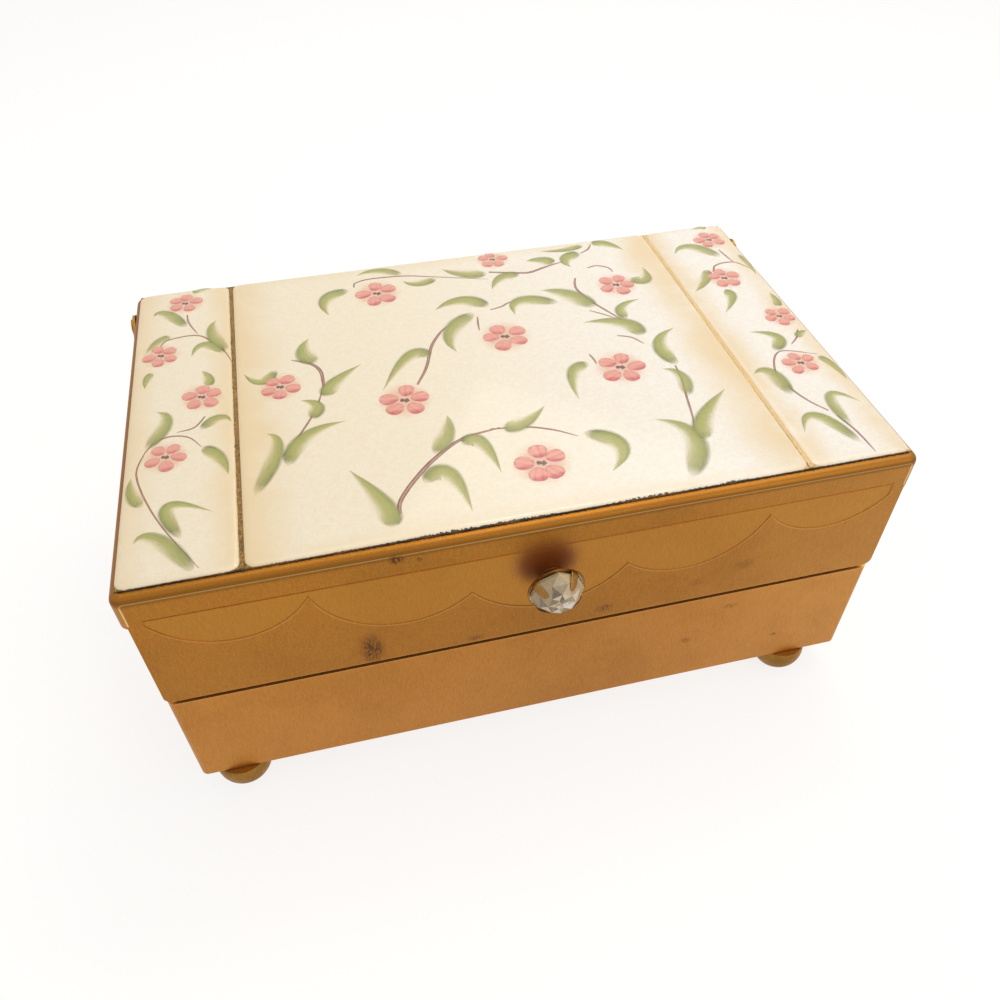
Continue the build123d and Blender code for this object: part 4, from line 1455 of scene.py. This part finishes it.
def velvet_material(name, look):
    """Short velvet: dark in the pile, light where it leans, with brushed clouds."""
    material, tree, place = new_material(name)
    tufts = placed(tree, "nap", {"Vector": place, "Size": look.pile})
    clouds = patchy(tree, place, 14, 0.4, 0.65)
    dark = Vector(look.velvet) * 0.45
    tone = washed(tree, look.velvet, (tufts, 0.35, look.sheen), (clouds, 0.5, dark))
    height = plus(tree, tufts, times(tree, clouds, 0.8))
    shaded(tree, Base_Color=tone, Roughness=0.95, Sheen_Weight=0.6, Sheen_Roughness=0.4,
           Sheen_Tint=look.sheen, Normal=bump(tree, height, 0.12, 0.8))
    return material


def liner(node_name, look):
    """Open velvet box: a block with its top pushed in, soft rims and a padded floor."""
    low, high, middle, half = extents(node_name)
    piece = cube(node_name + "_velvet", low, high)
    edit(piece)
    choose(piece, "EDGE", lambda first, second: abs(first.z - second.z) > MM)
    rounded(0.8, 3)
    choose(piece, "FACE", lambda normal: normal.z > 0.9)
    bpy.ops.mesh.inset(thickness=look.wall, use_even_offset=True)
    drawn_out(0, 0, low.z + look.wall - high.z)
    choose(piece, "EDGE", lambda first, second: (first.z + second.z) / 2 > high.z - 0.01 * MM)
    rounded(0.35, 3)
    for axis in (0, 1, 2):
        slices(axis, spaced(low[axis], high[axis], LINER_PITCH))
    put_away()

    def padded(point):
        inside = depth_inside(point, middle, half) - look.wall
        if abs(point.z - low.z - look.wall) < 0.1 * MM and inside > 0.1 * MM:
            wave = noise.noise(point / (12 * MM)) * 0.2 * MM
            point.z += min(inside / (8 * MM), 1) * look.floor_crown * 0.35 + wave
        return point

    mould(piece, padded)
    outwards(piece)
    return piece


def covered_card(node_name):
    """Velvet-covered card: a block with soft edges and slightly uneven sides."""
    low, high, middle, half = extents(node_name)
    piece = cube(node_name + "_velvet", low, high)
    edit(piece)
    rounded(0.7, 4)
    for axis in (0, 1, 2):
        if half[axis] > CARD_PITCH:
            slices(axis, spaced(low[axis], high[axis], CARD_PITCH))
    put_away()
    thin = 0 if half.x < half.y else 1

    def uneven(point):
        side = 1 if point[thin] > middle[thin] else -1
        point[thin] -= 0.12 * MM * noise.noise(point / (7 * MM)) * side
        point[thin] = min(max(point[thin], low[thin]), high[thin])
        return point

    mould(piece, uneven)
    return piece


class JEWELBOX_OT_linings(bpy.types.Operator):
    """Line the tiers and cover the dividers with velvet"""
    bl_idname = "jewelbox.linings"
    bl_label = "Linings"

    def execute(self, context):
        look = context.scene.jewelbox.lining
        material = velvet_material("rose velvet", look)
        for name, body in (("base_lining", "base"), ("tray_lining", "tray")):
            finish(liner(name, look), body, material, (name,), smooth=50)
        for name in ("base_divider_left", "base_divider_right", "tray_divider_long", "tray_divider_cross"):
            body = name.split("_")[0]
            finish(covered_card(name), body, material, (name,), smooth=50)
        return {"FINISHED"}


class JEWELBOX_OT_rolls(bpy.types.Operator):
    """Stuff the ring rolls and lay them in the tray"""
    bl_idname = "jewelbox.rolls"
    bl_label = "Ring rolls"

    def execute(self, context):
        look = context.scene.jewelbox.lining
        material = velvet_material("roll velvet", look)
        low, high, middle, half = extents("ring_rolls")
        bed = cube("ring_bed", low, (high.x, high.y, low.z + look.bed))
        edit(bed)
        rounded(0.4, 3)
        put_away()
        finish(bed, "tray", material, ("ring_rolls",), smooth=50)
        pitch = 2 * half.x / look.rolls
        for i in range(look.rolls):
            centre = Vector((low.x + (i + 0.5) * pitch, middle.y, high.z - look.roll_radius))
            put_away()
            bpy.ops.mesh.primitive_cylinder_add(vertices=40, radius=look.roll_radius, depth=2 * half.y,
                                                location=centre, rotation=(math.pi / 2, 0, 0))
            roll = added(f"ring_roll_{i + 1}")
            edit(roll)
            slices(1, spaced(low.y, high.y, ROLL_PITCH))
            choose(roll, "FACE", lambda normal: abs(normal.y) > 0.9)
            for step_in in ROLL_END_STEPS:
                bpy.ops.mesh.inset(thickness=step_in)
            put_away()

            def stuffed(point, centre=centre, seed=i):
                along = (point.y - centre.y) / half.y
                out = Vector((point.x - centre.x, 0, point.z - centre.z))
                end = max(abs(along) - 0.93, 0) / 0.07
                gather = math.cos(14 * math.atan2(out.z, out.x)) * 0.02 * step(abs(along), 0.75, 1.0)
                creases = Vector((out.x, point.y * 0.5, out.z)) / (4 * MM) + Vector((seed, 0, 0))
                fold = noise.noise(creases) * 0.02
                size = math.sqrt(max(1 - 0.55 * end ** 2, 0)) * (0.975 + gather + fold)
                return centre + out * min(size, 1) + Vector((0, point.y - centre.y, 0))

            mould(roll, stuffed)
            outwards(roll)
            finish(roll, "tray", material, ("ring_rolls",), smooth=60)
        return {"FINISHED"}


class JEWELBOX_OT_lid_pad(bpy.types.Operator):
    """Fit the padded lining inside the lid"""
    bl_idname = "jewelbox.lid_pad"
    bl_label = "Lid pad"

    def execute(self, context):
        look = context.scene.jewelbox.lining
        low, high, middle, half = extents("lid_lining")
        piece = cube("lid_lining_velvet", low, high)
        edit(piece)
        for axis in (0, 1):
            slices(axis, spaced(low[axis], high[axis], CARD_PITCH))
        put_away()

        def crowned(point):
            if point.z < middle.z:
                inside = depth_inside(point, middle, half)
                rise = quarter_round(inside / PAD_EDGE)
                seam = SEAM_DEPTH * math.exp(-((inside - SEAM_IN) / SEAM_WIDTH) ** 2)
                point.z = high.z - PAD_RIM - (high.z - low.z - 0.4 * MM) * rise + seam
                point.z = max(point.z + 0.05 * MM * noise.noise(point / (6 * MM)), low.z)
            return point

        mould(piece, crowned)
        outwards(piece)
        finish(piece, "lid", velvet_material("pad velvet", look), ("lid_lining",), smooth=60)
        return {"FINISHED"}


# Stage

# Lamps: name, width and height, place, the point that each one faces, and screen colour
LAMPS = (
    ("key", (0.6, 0.6), (0.16, 0.18, 0.64), (0, 0, 0.03), (255, 248, 236)),
    ("fill", (0.4, 0.4), (0.3, -0.5, 0.45), (0, 0, 0.03), (255, 244, 226)),
    ("glint", (0.2, 0.05), (0.14, 0.2, 0.59), (0.005, -0.045, 0.07), (255, 250, 242)),
)

# Side of the floor, width of the camera's film in mm, and how near the camera can see
FLOOR_SIDE, FILM_WIDTH, NEAREST = 6, 36, 0.01


def seen_directly(tree):
    """Full for what the camera sees directly, in a mirror or through glass."""
    rays = node(tree, "ShaderNodeLightPath").outputs
    direct = plus(tree, rays["Is Camera Ray"], rays["Is Glossy Ray"])
    return calc(tree, "ADD", direct, rays["Is Transmission Ray"], clamp=True)


def lamp(name, power, sizes, place, aim, screen):
    """Soft lamp that faces a point."""
    data = bpy.data.lights.new(name, "AREA")
    data.energy = power
    data.shape = "RECTANGLE"
    data.size, data.size_y = sizes
    data.color = srgb(*screen)
    lamp_object = bpy.data.objects.new(name, data)
    bpy.context.scene.collection.objects.link(lamp_object)
    lamp_object.location = place
    lamp_object.rotation_euler = (Vector(aim) - Vector(place)).to_track_quat("-Z", "Y").to_euler()


class JEWELBOX_OT_stage(bpy.types.Operator):
    """Set the floor, the lamps and the camera"""
    bl_idname = "jewelbox.stage"
    bl_label = "Stage"

    def execute(self, context):
        look = context.scene.jewelbox.stage
        put_away()
        bpy.ops.mesh.primitive_plane_add(size=FLOOR_SIDE, location=(0, 0, 0))
        floor = added("floor")
        material = bpy.data.materials.new("pale floor")
        material.use_nodes = True
        tree = material.node_tree
        tree.nodes.remove(tree.nodes["Principled BSDF"])
        plain = node(tree, "ShaderNodeEmission", {"Color": (1, 1, 1), "Strength": look.white}).outputs[0]
        paper = node(tree, "ShaderNodeBsdfDiffuse", {"Color": look.floor}).outputs[0]
        amount = times(tree, seen_directly(tree), look.floor_glow)
        both = node(tree, "ShaderNodeMixShader", {0: amount, 1: paper, 2: plain}).outputs[0]
        tree.links.new(both, tree.nodes["Material Output"].inputs["Surface"])
        floor.data.materials.append(material)

        world = bpy.data.worlds.new("soft room")
        context.scene.world = world
        world.use_nodes = True
        tree = world.node_tree
        strength = plus(tree, times(tree, seen_directly(tree), 1 - look.sky), look.sky)
        fill(tree, tree.nodes["Background"], {"Color": (1, 1, 1), "Strength": strength})

        for name, *settings in LAMPS:
            lamp(name, getattr(look, name), *settings)

        data = bpy.data.cameras.new("camera")
        data.lens = look.lens
        data.sensor_width = FILM_WIDTH
        data.clip_start = NEAREST
        camera = bpy.data.objects.new("camera", data)
        context.scene.collection.objects.link(camera)
        camera.location = look.camera_place
        camera.rotation_euler = look.camera_turn
        context.scene.camera = camera
        context.scene.view_settings.view_transform = "Standard"
        return {"FINISHED"}


class JEWELBOX_PT_panel(bpy.types.Panel):
    """Lists the steps of dressing the box"""
    bl_idname = "JEWELBOX_PT_panel"
    bl_label = "Jewellery box"
    bl_space_type = "VIEW_3D"
    bl_region_type = "UI"
    bl_category = "Jewellery box"

    def draw(self, context):
        for operator in OPERATORS:
            self.layout.operator(operator.bl_idname)


LOOKS = (BrassLook, PanelLook, GlueLook, PaintLook, KnobLook, LiningLook, StageLook, BoxLook)
OPERATORS = (JEWELBOX_OT_sheets, JEWELBOX_OT_fittings, JEWELBOX_OT_panels, JEWELBOX_OT_glue,
             JEWELBOX_OT_painting, JEWELBOX_OT_knob, JEWELBOX_OT_feet, JEWELBOX_OT_linings,
             JEWELBOX_OT_rolls, JEWELBOX_OT_lid_pad, JEWELBOX_OT_stage)


def register():
    for kind in (*LOOKS, *OPERATORS, JEWELBOX_PT_panel):
        bpy.utils.register_class(kind)
    bpy.types.Scene.jewelbox = PointerProperty(type=BoxLook)


def unregister():
    del bpy.types.Scene.jewelbox
    for kind in reversed((*LOOKS, *OPERATORS, JEWELBOX_PT_panel)):
        bpy.utils.unregister_class(kind)


def main():
    """Dress the box from the sheets to the stage."""
    register()
    put_away()
    shared_groups()
    for operator in OPERATORS:
        getattr(bpy.ops.jewelbox, operator.bl_idname.split(".")[1])()


if __name__ == "__main__":
    main()
